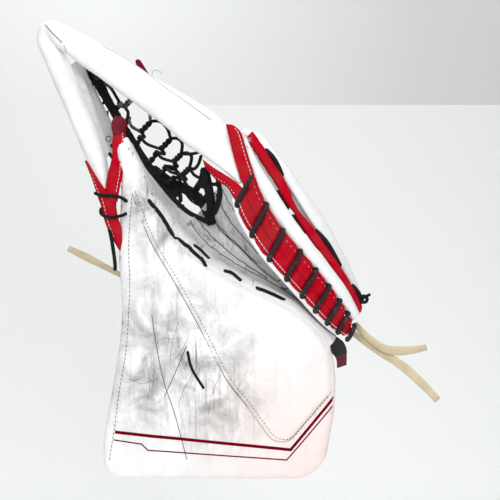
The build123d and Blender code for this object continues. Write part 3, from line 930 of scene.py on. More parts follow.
# ---------------------------------------------------------------- palm
PALM_ROWS = [
    (4, [(-22, 4.5), (-16, 8), (-12, 20), (-10, 29), (-6, 27), (-3, 24), (-1, 20)]),
    (47, [(-20, 3), (-14.5, 9), (-13.5, 24), (-11, 34), (-7, 28), (-4, 17), (0, 5)]),
    (66, [(-24, 3), (-18, 9), (-17, 26), (-13, 37), (-8, 26), (-3, 9), (2, -6)]),
    (105, [(-37, 3), (-30.5, 9), (-27, 30), (-18, 46), (-10, 28), (-1, 3), (6, -19)]),
    (138, [(-47, 3), (-40, 10), (-33, 35), (-19, 52), (-9, 30), (3, 3), (10, -24)]),
    (177, [(-51, 3), (-44, 11), (-36, 40), (-21, 62), (-8, 36), (8, 5), (19, -25)]),
    (186, [(-51, 3), (-43.5, 11), (-35, 42), (-22, 64), (-8, 38), (9, 7), (21, -23)]),
]
THUMB_ROWS = [
    (180, [(-51, 3), (-44, 12), (-38, 38), (-33, 60), (-29, 68)]),
    (220, [(-44, 3), (-38.5, 11), (-36, 36), (-34, 64), (-30, 83)]),
    (255, [(-32, 4), (-27, 12), (-27.5, 34), (-29, 62), (-28, 86)]),
    (276, [(-24, 6), (-20, 14), (-21, 34), (-22, 58), (-22, 80)]),
    (284, [(-21, 10), (-18, 18), (-18, 36), (-19, 56), (-19, 76)]),
]


def grid(rows, long, wide):
    """A fine grid of (station, side, depth) through rows of control points."""
    cross = [[(station, *p) for p in smooth(row, wide)] for station, row in rows]
    columns = [smooth([row[j] for row in cross], long) for j in range(wide)]
    return [[columns[j][i] for j in range(wide)] for i in range(long)]


def surface(rows, long=110, wide=70):
    """Places on a leather sheet: the grid, with soft wrinkles that fade out at its edges."""
    places = []
    for line in grid(rows, long, wide):
        row = []
        for j, (station, side, depth) in enumerate(line):
            place = fold(side, depth, station)
            drop = 1.0 * wobble(place, 26, 5) + 0.45 * wobble(place, 9, 6)
            edge = min(j, wide - 1 - j) / wide
            place.y -= drop * ease(edge * 6) * MM
            row.append(place)
        places.append(row)
    return places


def surface_point(places, rows, station, share):
    """The place on a sheet nearest a station and a share of its width, with its outward normal."""
    long, wide = len(places), len(places[0])
    stations = [s for s, _ in rows]
    k = max(i for i in range(len(stations) - 1) if stations[i] <= station or i == 0)
    t = (station - stations[k]) / (stations[k + 1] - stations[k])
    i = min(max(int(round((k + t) / (len(stations) - 1) * (long - 1))), 1), long - 2)
    j = min(max(int(round(share * (wide - 1))), 1), wide - 2)
    normal = (places[i + 1][j] - places[i - 1][j]).cross(places[i][j + 1] - places[i][j - 1]).normalized()
    return places[i][j], (normal if normal.y < 0 else -normal)


def seams(name, places, rows, lines):
    """Dark seam lines on a sheet along (station, share) points, blended with it."""
    runs = []
    for line in lines:
        found = [surface_point(places, rows, s, t) for s, t in smooth(line, 40)]
        raised = [place + normal * SEAM_LIFT * MM for place, normal in found]
        run = raised[:1]
        for place in raised:
            if (place - run[-1]).length > SEAM_STEP * MM:
                run.append(place)
        runs.append(run)
    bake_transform(laces(name, runs, "dark_thread", SEAM_WIDTH, None, sides=6))


LEATHER = 1.6                    # thickness of the palm leather
SEAM_LIFT, SEAM_STEP, SEAM_WIDTH = 0.85, 1.6, 1.15


def make_palm():
    """Palm leather in one piece across the break, with its sewn lines; the thumb's leather; foam behind."""
    places = surface(PALM_ROWS)
    vertices, faces = lattice(places)
    palm = make("palm_leather", vertices, faces, "palm", None,
                ("palm_leather_thumb_side", "palm_leather_finger_side"))
    solidify(palm, LEATHER)
    apply(palm)
    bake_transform(palm)
    seams("palm_seams", places, PALM_ROWS, [
        [(184, 0.38), (173, 0.34), (154, 0.31), (131, 0.33), (110, 0.36), (84, 0.42), (60, 0.45),
         (36, 0.46)],
        [(184, 0.45), (167, 0.42), (141, 0.40), (113, 0.42), (90, 0.45)],
        [(176, 0.62), (154, 0.555), (131, 0.56), (104, 0.57), (84, 0.58), (82, 0.66), (84, 0.74)],
        [(176, 0.64), (154, 0.575), (131, 0.58), (108, 0.59)],
        [(184, 0.80), (160, 0.74), (142, 0.72), (115, 0.73), (100, 0.79)],
        [(186, 0.90), (170, 0.86), (150, 0.84), (128, 0.85)],
        [(76, 0.47), (71, 0.56), (72, 0.74)],
    ])
    thumb = surface(THUMB_ROWS, long=70, wide=50)
    vertices, faces = lattice(thumb)
    leather_piece = make("thumb_leather", vertices, faces, "palm", "cuff", ("thumb_palm_leather",))
    solidify(leather_piece, LEATHER)
    for name, body in (("palm_pad_thumb_side", "cuff"), ("palm_pad_finger_side", "fingers")):
        soften(name, body, "foam", 2.0)
    edge_laces = [
        (4.0, [(-35, 266), (-25.7, 254.7), (-18, 243.3), (-11.5, 232)]),
        (2.2, [(-11.5, 232), (-9, 229.6), (-6.6, 229.8)]),
        (3.6, [(-6.6, 229.8), (6.7, 218.5), (16.3, 209), (20, 202.3)]),
        (2.8, [(8, 223), (14.4, 218.5), (22.9, 209.9)]),
        (3.2, [(37.2, 198.5), (44.8, 196.3), (53.4, 189)]),
        (3.4, [(67.7, 182.3), (74.4, 180), (84, 176), (95, 170.5)]),
    ]
    board = bpy.data.objects["cuff_board"]
    for k, (width, line) in enumerate(edge_laces):
        points, _ = onto((board, palm, leather_piece), smooth(line, 22), 0.5)
        last = len(points) - 1
        points = [p + INTO_GLOVE * (2.2 * (abs(2 * i / last - 1) ** 6) - 0.5) * MM for i,
                  p in enumerate(points)]
        laces(f"palm_edge_lace_{k + 1}", [points], "lace", width, flat=0.7, up=TO_VIEWER)


def copy_of(node, name, material, body, size, rounds):
    """A remeshed and relaxed copy of a CAD node, which it replaces."""
    piece = bpy.data.objects.new(name, frame["nodes"][node].data.copy())
    bpy.context.scene.collection.objects.link(piece)
    piece.data.materials.clear()
    piece.data.materials.append(MATERIALS[material])
    remesh(piece, size)
    relax(piece, rounds, 0.5)
    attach(piece, body)
    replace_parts(piece, node)
    return piece


def soften(node, body, material, size):
    """A soft, slightly uneven copy of a CAD pad."""
    piece = copy_of(node, node + "_soft", material, body, size, 4)
    for v in piece.data.vertices:
        v.co += v.normal * 0.5 * wobble(v.co, 18, 9) * MM


# ---------------------------------------------------------------- pocket: T strip and laced net
T_STRIP = [(214, -26, 80, 4), (226, -25.5, 84, 5.6), (254, -24.5, 88, 5), (292, -16, 80, 4.8),
           (328, -6, 65, 4.6),
           (345, 0, 55, 5.6), (358, 4.5, 45, 6.4), (366, 7, 40, 4)]
# straps of the web at the pocket's foot: width, then (station, side, depth)
FOOT = [
    (10.5, [(252, -22, 88), (230, -19, 80), (208, -11.5, 67), (190, -10.5, 56), (177, -13.5, 51),
            (170, -18, 51)]),
    (4.8, [(240, -28, 86), (228, -28, 80), (213, -28.5, 74), (195, -27.5, 66), (180, -23, 58),
           (170, -19, 53)]),
    (9, [(207, 13, 0), (195, 5, 8), (184, -3, 20), (176, -11, 36), (169, -18, 50)]),
    (5.5, [(193, 17, -13), (184, 11, -4), (177, 1, 12), (173, -10, 36)]),
    (3.6, [(198, 0, 14), (194, 6, 5), (188, 13, -6)]),
    (7, [(204, -7, 62), (204, -1, 44), (204, 5, 24), (207, 12, 2)]),
    (8, [(190, -8, 54), (189, -2, 34), (188, 2, 18)]),
    (4, [(209, 11, 2), (203, 17, -8), (194, 18, -13)]),
    (4.5, [(220, -18, 78), (213, -21, 75), (208, -25, 73)]),
    (2.2, [(210, -16, 72), (200, -17, 66), (191, -15, 60)]),
    (9, [(183, -14, 54), (179, -10, 42), (178, -5, 28)]),
]


def curve(spots, count=12):
    """Places along a soft line through (station, side, depth)."""
    return [Vector(p) for p in smooth([tuple(fold(u, y, s)) for s, u, y in spots], count)]


def ribbons(name, straps, material, body):
    """One piece made of straps, each (width, points), with rounded edges, facing forward."""
    return joined(name, [(line, width * MM / 2, 12, STRAP_THICKNESS / width, TO_VIEWER) for width,
                         line in straps],
                  material, body)


def make_t_strip():
    """The black strip with its whipping lace, and the web of straps and knots at its foot."""
    rows = []
    for station, side, depth, half in smooth(T_STRIP, 80):
        row = []
        for k in range(20):
            angle = math.tau * k / 20
            lump = 0.3 * math.sin(station * 0.5 + 2 * angle)
            row.append(fold(side + math.cos(angle) * (half + lump * 0.5), depth + math.sin(angle)
                            * (2.0 + lump),
                            station))
        rows.append(row)
    vertices, faces = lattice(rows, closed=True)
    make("t_strip", vertices, faces, "black", "cuff", ("pocket_t_strip",))
    whip = []
    for station, side, depth, half in smooth(T_STRIP, 17)[2:-2]:
        whip.append(curve([(station - 3, side - half - 0.6, depth),
                           (station - 1, side - half * 0.4, depth - 2.3),
                           (station + 1, side + half * 0.4, depth - 2.3),
                           (station + 3, side + half + 0.6, depth)], 8))
    ring = [fold(5 + 3.6 * math.cos(a), 46 + 0.6 * math.sin(a), 353 + 3.6 * math.sin(a))
            for a in (math.tau * k / 20 for k in range(21))]
    laces("t_strip_whipping", whip, "lace", 1.7)
    laces("t_strip_ring", [ring], "worn_lace", 2.6)
    straps = [(width, curve(spots, 26)) for width, spots in FOOT]
    web = ribbons("pocket_foot_web", straps, "black", None)
    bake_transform(web)
    knots = []
    for width, spots in FOOT[:4]:
        for station, side, depth in smooth(spots, 5)[1:-1]:
            reach, lift = width / 2 + 0.2, 1.0
            knots.append(curve([(station + 1.5, side - reach, depth),
                                (station + 0.6, side - reach / 2, depth - lift),
                                (station - 0.6, side + reach / 2, depth - lift),
                                (station - 1.5, side + reach, depth)], 8))
    piece = laces("pocket_foot_lace", knots, "lace", 1.9, body=None)
    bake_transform(piece)


# middle joints of the net: station, side of the lower and of the upper end, depth
MIDDLE = [(336, 6, 12, 42), (311, 2, 13, 40), (281.5, -4, 10, 38), (255, -2, 12, 34), (237, -2, 9, 32),
          (221.5, -5, 5, 30)]
# joints by the strip: station, side and depth of the end by the strip, side and depth of the free end
BY_STRIP = [(320, -5, 68, 2, 60), (303.5, -10, 73, -3, 62), (282, -16, 81, -8, 64),
            (259.5, -19, 84, -7, 64),
            (243, -20, 82, -11, 66), (229, -20, 78, -13, 62)]
WORN = 2


def twisted(a, b, turns=1.5, spread=1.6):
    """Two laces twisted round each other between two places."""
    ahead = (b - a).normalized()
    x = ahead.orthogonal().normalized()
    y = ahead.cross(x)
    pair = []
    for phase in (0, math.pi):
        pair.append([a.lerp(b, k / 16) + (x * math.cos(phase + turns * math.tau * k / 16)
                                          + y * math.sin(phase + turns * math.tau * k / 16)) * spread * MM
                     for k in range(17)])
    return pair


def make_net():
    """Black lace in rows of rounded loops, twisted together where they meet; the top loops are worn pale."""
    dark, worn = [], []
    for i, (station, low, high, depth) in enumerate(MIDDLE):
        lines = worn if i < WORN else dark
        lines += twisted(fold(low, depth + 2, station), fold(high, depth - 2, station - 0.5))
        near, side, back, free, front = BY_STRIP[i]
        dark += twisted(fold(side, back, near), fold(free, front, near - 0.5), 1.0, 1.5)
        dark.append(curve([(station - 1, low, depth + 2), (station - 5, low - 1, depth + 10),
                           (near + 1, free, front)]))
        if i + 1 < len(MIDDLE):
            after, low_after, high_after, depth_after = MIDDLE[i + 1]
            lines.append(curve([(near - 1, free, front),
                                ((near + after) / 2 + 1, (free + low_after) / 2 - 3,
                                (front + depth_after) / 2), (after, low_after, depth_after + 2)]))
            gap = station - after
            lines.append(curve([(station, high, depth - 2),
                                (station - gap * 0.28, max(high, high_after) + 4.5, depth - 6),
                                (station - gap * 0.66, max(high, high_after) + 4.5, depth - 7),
                                (after, high_after, depth_after - 2)], 18))
    dark.append(curve([(236.5, 9, 30), (228, 16, 18), (221, 25, 4)]))
    dark.append(curve([(219, 20, 4), (216, 13, 11), (216.5, 7, 20), (221, 5, 28)]))
    dark.append(curve([(221.5, 5, 29), (213, 3, 24), (205, 5, 14)]))
    dark.append(curve([(221.5, -5, 31), (217, -8, 44), (213, -9, 60)]))
    dark.append(curve([(241, -13, 72), (236, -8, 60), (229, -6, 54), (223, -9, 58)], 18))
    dark.append(curve([(237, -2, 33), (231, -6, 48), (224, -10, 62), (219, -13, 72)]))
    worn.append(curve([(354, 9, 44), (346, 8, 46), (341, 5, 46), (336, 6, 43)]))
    worn.append(curve([(345, 12, 34), (341, 8, 40), (336, 12, 41)]))
    for name, lines, material, nodes in (
        ("pocket_net", dark, "lace", ("pocket_net_strip_side", "pocket_net_rim_side")),
        ("pocket_net_worn_loops", worn, "worn_lace", ()),
    ):
        piece = laces(name, lines, material, 3.3, None, nodes)
        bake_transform(piece)


# ---------------------------------------------------------------- rim
def outward(points):
    """The outer side of a path in the front plane, at each of its points."""
    found = []
    for i in range(len(points)):
        ahead = Vector(points[min(i + 1, len(points) - 1)]) - Vector(points[max(i - 1, 0)])
        found.append(Vector((-ahead.z, 0, ahead.x)).normalized())
    return found


def in_front(places):
    """The (X, Z) of places."""
    return [(p.x / MM, p.z / MM) for p in places]


def line_on(name, piece, corners, material, width, body, blend=None):
    """A thin line on a piece's front through (X, Z) places."""
    points, _ = onto(piece, smooth(corners, 60), 0.15)
    thread = laces(name, [points], material, width, None if blend else body, sides=6)
    if blend:
        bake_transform(thread)


def make_rim():
    """One padded roll from the thumb, over the tip and down to the fingers, with its seams."""
    stops = [
        (-77.5, 12, 276, 1.6, 3), (-80, 18, 284, 5.5, 8), (-86, 25, 303, 9, 14), (-95, 28, 327, 10.5, 18),
        (-104, 28, 350, 10.5, 19), (-115, 28, 376, 11, 18), (-126, 26, 402, 11, 16),
        (-134, 24, 421, 10.5, 13.5),
        (-131, 18, 429.5, 10, 12), (-117, 12, 422, 11.5, 11), (-96, 8, 409, 13, 11),
        (-66, 2, 389, 14.5, 11),
        (-35.5, -4, 368, 15.6, 11), (-7, -10, 348.5, 17.6, 11.5), (14.5, -15, 332, 19.4, 11),
        (31.5, -21, 317, 17.4, 9),
        (44, -27, 299, 10, 6), (53, -31, 280, 1.8, 3),
    ]
    centres = [point(*s[:3]) for s in stops]
    cuts = [(c, s[3], s[4], side, INTO_GLOVE) for c, s, side in zip(centres, stops, outward(centres))]

    def soft(t, angle, place):
        leg = ease((t - 0.52) * 20)
        welt = -1.5 * math.exp(-((angle - math.radians(306)) / 0.09) ** 2)
        crease = 0.35 * wobble(place, 6, 14) * ease((t - 0.75) * 5)
        return 0.7 * wobble(place, 30, 12) + 0.35 * wobble(place, 10, 13) + welt * leg + crease

    piece = bar("rim_roll", cuts, "white", None, ("rim_leg_thumb", "rim_leg_finger"), 190, 64, 2.5, soft)
    tip = ("cuff", "fingers", fold(-7, 0, 400), fold(4, 0, 400))
    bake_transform(piece)
    line_on("rim_tip_crease", piece, [(-134, 434), (-128, 427), (-121, 420), (-117, 416)], "dark_thread",
            0.7, None, tip)
    line_on("rim_finger_welt", piece, [(-78, 412), (-60, 402), (-38, 387), (-16, 370), (6, 354), (26, 339)],
            "welt", 1.3, "fingers")
    line_on("rim_thumb_edge", piece, [(-115, 413), (-107, 389), (-96, 363), (-90, 347), (-84, 328)],
            "red", 0.5, "cuff")
    # The thumb leg's lining strip. Its rows reach under the leg, and its greyer leather is painted shade that
    # also stands for the leg's shaded inner side.
    rows = [
        (375, [(-10, 31), (0, 35), (3, 39), (5, 43), (6, 45)]),
        (357, [(-17, 34), (-9, 37), (-6.5, 44), (-4, 49), (-2, 52)]),
        (333, [(-27, 33), (-19.5, 35), (-17, 43), (-14, 51), (-11.5, 60)]),
        (310, [(-39, 31), (-31, 34), (-27, 44), (-24, 54), (-19.5, 66)]),
        (286, [(-48, 29), (-41, 32), (-37, 45), (-33, 56), (-27, 72)]),
    ]
    vertices, faces = lattice(surface(rows, long=60, wide=20))
    lining = make("thumb_leg_lining_painted_shade", vertices, faces, "lining_leather_painted_shade", "cuff",
                  ("thumb_leg_inner_binding",))
    solidify(lining, LEATHER)
    loops = []
    for station, tilt in ((298, 3), (309, -4), (319, 5), (334, -3), (347, 4)):
        _, side, depth, half = min(smooth(T_STRIP, 60), key=lambda v: abs(v[0] - station))
        edge = -19.5 + (station - 310) * 0.33
        loops.append(curve([(station, edge - 1, 62), (station + tilt / 2, edge + 1, 63),
                            (station + tilt, side - half, depth - 2)], 8))
    laces("thumb_net_loops", loops, "lace", 2.8, "cuff", ("pocket_net_thumb_loops",))
    tab = []
    for x, z, width in ((-46, 400, 1.5), (-43, 399.5, 4.6), (-40.5, 396, 6.5), (-38, 392, 7), (-35, 387, 6),
                        (-33, 383, 4)):
        tab.append([point(x - k * width * 0.16, 2 + 0.5 * k, z - k * width * 0.26) for k in range(5)])
    vertices, faces = lattice(tab)
    solidify(make("rim_top_tab_fold", vertices, faces, "dark_red", "fingers", ("rim_top_tab",)), 1.5)
    ring = [point(-27 + 4.5 * math.cos(a), 4, 386 + 4 * math.sin(a)) for a in (0.3 * k for k in range(14))]
    laces("rim_tab_thread", [ring], "dark_thread", 0.35, "fingers", sides=6)


# ---------------------------------------------------------------- finger edge
BAND = [
    (-2, 2.5, 22, 5), (4, 2.5, 19, 7.5), (25, 4, 5, 11), (57, 6.5, -12, 12.2), (90, 8.5, -26, 12.5),
    (118, 11, -32, 12.5), (150, 19, -34, 12.5), (166, 27, -34, 12),
]
LACE_TURNS = 8
PITCH, PITCH_GROWTH = 13.5, 2.5   # between the first turns, and more at each turn after
FIRST_TURN = 10.0


def turn_station(turn):
    """The station of the band lace's turn, whole or part; the turns lie closer together at the heel."""
    return FIRST_TURN + PITCH * turn + PITCH_GROWTH / 2 * turn ** 2


def turn_at(station):
    """The lace's turn at a station."""
    return (math.sqrt(max(PITCH ** 2 + 2 * PITCH_GROWTH * (station - FIRST_TURN), 0))
            - PITCH) / PITCH_GROWTH


def turn_lean(turn, angle):
    """How far a turn has climbed along the band at an angle round it."""
    pitch = PITCH + PITCH_GROWTH * turn
    return (4 + 0.25 * pitch) * (angle - 1.5 * math.pi) / math.pi


def band_at(station):
    """Side, depth and half width of the laced band's middle at a station."""
    values = smooth(BAND, 120)
    return min(values, key=lambda v: abs(v[0] - station))[1:]


def ring_cuts(values, thick):
    """Cuts of a bar that runs along the break, from (station, side, depth, half width)."""
    return [(fold(u, y, s), half, thick if thick else half, ACROSS, INTO_GLOVE) for s, u, y, half in values]


def station_of(place):
    """The station of a place along the break."""
    return (place - HEEL).dot(ALONG) / MM


def make_band():
    """The red band, pinched where the black lace winds round it, with its welt, fold and stitching."""
    def pinch(t, angle, place):
        station = station_of(place)
        turn = turn_at(station)
        lean = turn_lean(turn, angle)
        away = station - turn_station(round(turn - lean / (PITCH + PITCH_GROWTH * turn))) - lean
        swell = 1.6 - 5.0 * math.exp(-(away / 3.8) ** 2)
        groove = -1.0 * math.exp(-((angle - math.radians(266)) / 0.07) ** 2)
        return swell + groove + 0.6 * wobble(place, 7, 21) + 0.6 * wobble(place, 18, 22)

    piece = bar("finger_edge_band", ring_cuts(BAND, 5.2), "red", "fingers", ("finger_band",), 200, 56,
                2.3, pinch)
    turns = []
    for i in range(LACE_TURNS):
        line = []
        for k in range(29):
            angle = math.radians(140 + 260 * k / 28)
            station = turn_station(i) + turn_lean(i, angle)
            side, depth, half = band_at(station)
            line.append(fold(side + math.cos(angle) * (half + 1.3), depth + math.sin(angle) * 6.9, station))
        turns.append(line)
    heel = [fold(2.5 + math.cos(a) * 7.5, 21 + math.sin(a) * 7, -3 + 2.5 * math.cos(a))
            for a in (math.radians(150 + 240 * k / 20) for k in range(21))]
    laces("band_lace", turns + [heel], "band_lace", 4.6, "fingers", ("finger_band_lace",), sides=14)
    for name, share, length, gap, width in (("band_stitches", -0.80, 2.6, 1.2, 0.8),
                                            ("band_outer_stitches", 0.78, 2.0, 4.0, 0.35)):
        edge = [fold(u + half * share, y, s) for s, u, y, half in smooth(BAND, 110)[6:-4]]
        stitch_row(name, *onto(piece, in_front(edge)), length, gap, "thread", "fingers", width)
    points, _ = onto(piece, in_front(fold(u - 0.8, y, s) for s, u, y, _ in smooth(BAND, 90)[4:-4]), 0.0)
    laces("band_fold", [points], "dark_red", 0.7, "fingers", sides=6)
    welt = [fold(u - half - 2.4, y + 1.5, s) for s, u, y, half in smooth(BAND, 60)[10:]]
    laces("band_welt", [welt], "white", 5.0, "fingers", sides=12)


def flap(name, left, right, body, material="red", puff=1.6, depth_shift=0.0, stitch=None):
    """A tapering leather flap between its two edges, each a line of (X, depth, Z), crowned in between."""
    count, wide = 36, 11
    rows = []
    for a, b in zip(smooth(left, count), smooth(right, count)):
        row = []
        for k in range(wide):
            t = k / (wide - 1)
            x, depth, z = (p + (q - p) * t for p, q in zip(a, b))
            place = point(x, depth + depth_shift - puff * math.sin(math.pi * t), z)
            place.y -= 0.3 * wobble(place, 7, 31) * MM
            row.append(place)
        rows.append(row)
    vertices, faces = lattice(rows)
    piece = make(name, vertices, faces, material, body)
    solidify(piece, 1.4)
    if stitch is not None:
        line = [row[stitch] + Vector((0, -0.8, 0)) * MM for row in rows[4:-5]]
        stitch_row(name + "_stitches", line, [TO_VIEWER] * len(line), 2.4, 1.3, "thread", body, 0.65)
    return piece


def make_finger_flaps():
    """The two red flaps that the rim's end tapers away between."""
    flap("finger_flap_outer", [(40, -33, 334), (42, -35, 325), (45, -37, 313), (48, -38, 301),
                               (52, -39, 288), (57, -40, 274)],
         [(46, -31, 333), (53, -33, 327), (57, -35, 315), (61, -36, 302), (65, -37, 290), (68, -38, 278)],
         "fingers", stitch=8)
    flap("finger_flap_inner", [(18, -20, 303), (28, -25, 295), (39, -31, 288), (49, -36, 281),
                               (56, -39, 274)],
         [(21, -18, 295), (32, -23, 283), (41, -29, 277), (46, -34, 269), (51, -38, 261)],
         "fingers", stitch=8)


ROLL = [
    (4, 16.5, 21, 5), (25, 21.5, 8, 6), (57, 26, -8, 6.8), (90, 28.5, -20, 7.4), (118, 32, -25, 7.6),
    (150, 39, -27, 7.6), (176, 47, -27, 6.2), (196, 57, -28, 3), (203, 60, -28, 1.2),
]
GUSSET = [
    (4, 22, 26, 2), (9, 25, 24, 4.2), (32, 31.5, 11, 4.2), (68, 38, -5, 4.6), (90, 41, -10, 4.8),
    (106, 43.5, -14, 4),
    (118, 45.5, -18, 2.9), (128, 48, -20, 3.6), (142, 52.5, -21, 5), (170, 59, -22, 5.2),
    (190, 63, -22, 4.8),
    (199, 66, -22, 3.4),
]


def make_roll_and_gusset():
    """The white roll beside the band, and the second red gusset outside it."""
    def soft(t, angle, place):
        return 0.6 * wobble(place, 20, 41) + 0.25 * wobble(place, 7, 42)

    def ragged(t, angle, place):
        return 0.8 * wobble(place, 9, 43) + 0.5 * wobble(place, 4, 44) * ease((t - 0.8) * 6)

    roll = bar("finger_roll_soft", ring_cuts(ROLL, None), "white", "fingers", ("finger_roll",), 110, 28,
               2.2, soft)
    bar("finger_gusset_soft", ring_cuts(GUSSET, 4.2), "red", "fingers", ("finger_gusset",), 150, 28, 2.2,
        ragged)
    frays = []
    rolls = random.Random(5)
    for station, side in ((203, 58), (200, 60), (196, 59.5), (190, 55.5)):
        for _ in range(4):
            start = fold(side, -33, station)
            drift = Vector((rolls.uniform(-4, 4), rolls.uniform(-2, 0.5), rolls.uniform(-3, 4))) * MM
            frays.append([start, start + drift * 0.5 + TO_VIEWER * MM, start + drift])
    laces("frayed_threads", frays, "thread", 0.35, "fingers", sides=5)


# ---------------------------------------------------------------- backhand and hand
SHELL_ROWS = [
    (12, [(27, 32), (30, 38), (32, 51), (31, 66), (27, 80)]),
    (38, [(36, 20), (40, 27), (42.5, 46), (41, 65), (35, 86)]),
    (68, [(43, 4), (48, 12), (51.5, 37), (51, 62), (42, 90)]),
    (106, [(49, -8), (56, 2), (61, 31), (60, 62), (48, 95)]),
    (143, [(57, -13), (63, -4), (65, 28), (62, 61), (50, 97)]),
    (185, [(63, -17), (69, -8), (69, 22), (65, 55), (53, 91)]),
    (206, [(61, -8), (64, 0), (64, 20), (61, 46), (54, 76)]),
]


def make_backhand():
    """The padded backhand shell with quilted channels, its lace, and its edge stitching."""
    places = []
    rows = grid(SHELL_ROWS, 90, 60)
    for i, line in enumerate(rows):
        row = []
        for j, (station, side, depth) in enumerate(line):
            place = fold(side, depth, station)
            channel = 1.8 * math.exp(-((depth - 34) / 2.2) ** 2) + 1.8 * math.exp(-((depth
                                                                                     - 66) / 2.2) ** 2)
            puff = 1.0 * wobble(place, 30, 51) + 0.3 * wobble(place, 9, 52)
            row.append(place - ACROSS * channel * MM + ACROSS * puff * MM)
        places.append(row)
    vertices, faces = lattice(places)
    piece = make("backhand_padded_shell", vertices, faces, "white", "fingers", ("backhand_shell",))
    solidify(piece, 5.0, 1)
    dashes = []
    for low, high in ((10, 30), (50, 92), (150, 178)):
        values = [v for v in smooth(GUSSET, 200) if low <= v[0] <= high]
        last = max(len(values) - 1, 1)
        line = []
        for k, (station, side, depth, half) in enumerate(values):
            arch = math.sin(math.pi * k / last)
            line.append(fold(side + half + 0.4 + 1.6 * arch, depth + 2.5 - 4.5 * arch, station))
        dashes.append(line)
    laces("backhand_lace_runs", dashes, "lace", 4.2, "fingers", ("backhand_lace",), sides=12)
    for share in (0.30, 0.62):
        j = int(share * 59)
        line = [places[i][j] + ACROSS * 5.2 * MM for i in range(6, 84)]
        stitch_row(f"backhand_stitches_{int(share * 100)}", line, [ACROSS] * len(line), 3.0, 1.6,
                   "thread", "fingers")
    knot_centre = sum((Vector(c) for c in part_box("heel_lace_knot")), Vector()) / 2
    knot = []
    for phase in (0.0, 2.1, 4.2):
        knot.append([knot_centre + Vector((math.cos(a + phase) * 3.2, math.sin(2 * a) * 2.2,
                                           math.sin(a + phase) * 3.2)) * MM
                     for a in (math.tau * k / 20 for k in range(21))])
    knot.append([knot_centre + Vector((k * 0.9, -1 - 0.2 * k, 1.6 + 0.5 * k)) * MM for k in range(7)])
    knot.append([knot_centre + Vector((-1 - 0.5 * k, 0.5 * k, -1.0 * k)) * MM for k in range(9)])
    laces("heel_knot", knot, "lace", 3.0, "fingers", ("heel_lace_knot",))


def make_stalls():
    """The cloth finger and thumb stalls, the softened thumb back shell and the wrist pad."""
    for name in ("little", "ring", "middle", "first"):
        stall(f"{name}_finger_stall", "fingers", INTO_GLOVE)
    axis = (point(-30, 39, 206) - point(-50, 38.5, 278)).normalized()
    stall("thumb_stall", "cuff", axis)
    soften("thumb_back_shell", "cuff", "white", 1.6)
    soften("wrist_pad", "cuff", "lining", 3.0)


def stall(node, body, mouth):
    """A sewn cloth tube, rippled along its length, from its CAD node's mesh."""
    piece = copy_of(node, node + "_cloth", "lining", body, 1.5, 3)
    for v in piece.data.vertices:
        ripple = 0.18 * math.sin(v.co.dot(mouth) / MM * 0.7)
        v.co += v.normal * (ripple + 0.4 * wobble(v.co, 9, 61)) * MM


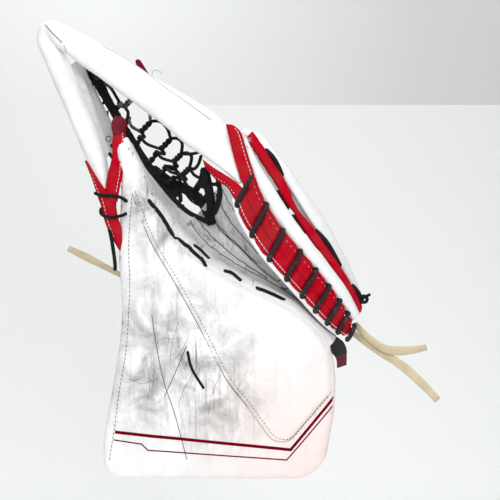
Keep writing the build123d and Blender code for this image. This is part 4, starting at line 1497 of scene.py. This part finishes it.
# ---------------------------------------------------------------- thumb bindings
def make_thumb():
    """The red flaps at the thumb, the two lace turns, the lace tail and the eyelet."""
    outer_left = [(-96, 10, 304), (-90, 7, 290), (-84.5, 4, 275), (-82, 3, 267), (-79, 2, 259),
                  (-76, 2, 246),
                  (-72, 3, 236), (-68, 4, 228), (-61, 7, 216)]
    outer_right = [(-95, 10, 304), (-86, 6, 290), (-76, 3, 276), (-66, 1, 267), (-65, 0.5, 258),
                   (-63, 0.5, 248),
                   (-60.5, 1, 240), (-60, 2, 229), (-60, 7, 216)]
    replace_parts(flap("thumb_flap_outer", outer_left, outer_right, "cuff", puff=2.2, stitch=2),
                "thumb_outer_binding")
    inner_left = [(-70, 36, 343), (-72, 28, 327), (-70.5, 14, 308), (-73.5, 5, 290), (-75, 2, 275),
                  (-72, 1, 264)]
    inner_right = [(-63, 38, 341), (-60, 30, 330), (-60, 12, 311), (-59, 3, 293), (-62, 0, 276),
                   (-64, -0.5, 264)]
    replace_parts(flap("thumb_flap_inner", inner_left, inner_right, "cuff", puff=2.4, stitch=8),
                "thumb_inner_binding")
    flap("thumb_flap_top", [(-70, 36, 350), (-73, 34, 345), (-73.5, 33, 339), (-71.5, 30, 331)],
         [(-64, 38, 349), (-60, 37, 345), (-59.5, 36, 339), (-61.5, 33, 331)], "cuff", "dark_red", puff=2.4,
         depth_shift=-1.4)
    turns = [
        [(-84, 6, 272), (-85, 1, 272.5), (-80, -3, 270.5), (-70, -3.6, 270), (-61, -3, 268.5),
         (-56, 0, 265.5), (-55, 5, 264)],
        [(-78, 6, 260), (-80, 1, 256), (-78, -2.6, 252), (-72, -3.4, 249.5), (-64, -3.2, 250),
         (-57.5, -1.5, 252), (-55.5, 4, 254)],
    ]
    laces("thumb_lace_turns", [[point(*p) for p in smooth(t, 30)] for t in turns], "lace", 3.4, "cuff",
          ("thumb_lace",))
    tail = [(-72, 3, 238), (-70, -1, 232), (-67.5, 0, 216), (-66.5, 3, 204), (-67, 6, 200)]
    laces("thumb_lace_tail_run", [[point(*p) for p in smooth(tail, 24)]], "lace", 3.6, "cuff",
          ("thumb_lace_tail",))
    bits = [[(-73, 26, 321), (-69, 24, 316), (-65, 22, 314)], [(-74, 20, 312), (-70, 18, 306)],
            [(-58, 6, 300), (-55, 3, 292), (-53, 2.5, 284)]]
    laces("thumb_lace_ends", [[point(*p) for p in smooth(b, 10)] for b in bits], "lace", 3.2, "cuff")
    ring = [point(-76 + 2.6 * math.cos(a), 27, 327 + 2.6 * math.sin(a))
            for a in (math.tau * k / 18 for k in range(19))]
    laces("thumb_eyelet", [ring], "dark_thread", 0.9, "cuff", sides=6)


# ---------------------------------------------------------------- wrist and straps
def make_straps():
    """The wrist strap with its anchor and hook patch, the strap end at the heel, and the hand strap."""
    copy_of("wrist_strap", "wrist_strap_webbing", "webbing", "wrist_strap", 1.0, 2)
    copy_of("wrist_strap_anchor", "wrist_strap_anchor_box", "webbing", "cuff", 1.0, 2)
    copy_of("wrist_strap_hook_patch", "wrist_hook_patch", "hooks", "cuff", 0.8, 2)
    down = [(136, 25.5, 133, 8), (143, 24.6, 127, 9), (149, 25, 120, 7), (151, 25.6, 114, 5),
            (151.5, 26, 105, 4.6)]
    rows = []
    for x, depth, z, half in smooth(down, 40):
        rows.append([point(x + k * half / 4, depth + 0.35 * math.sin(k + z * 0.3), z + k * half * 0.08)
                     for k in range(-4, 5)])
    for name, part, material, node in (("strap_end_webbing", rows[:27], "webbing", "strap_end"),
                                       ("strap_end_hem", rows[26:], "red_webbing", "strap_end_tip")):
        vertices, faces = lattice(part)
        solidify(make(name, vertices, faces, material, "cuff", (node,)), 1.8)
    copy_of("hand_strap", "hand_strap_leather", "black", "hand_strap", 0.9, 2)


make_camera()
make_light()
make_ties()
make_board()
make_board_trim()
make_back_binding()
make_palm()
make_t_strip()
make_net()
make_rim()
make_band()
make_finger_flaps()
make_roll_and_gusset()
make_backhand()
make_stalls()
make_thumb()
make_straps()
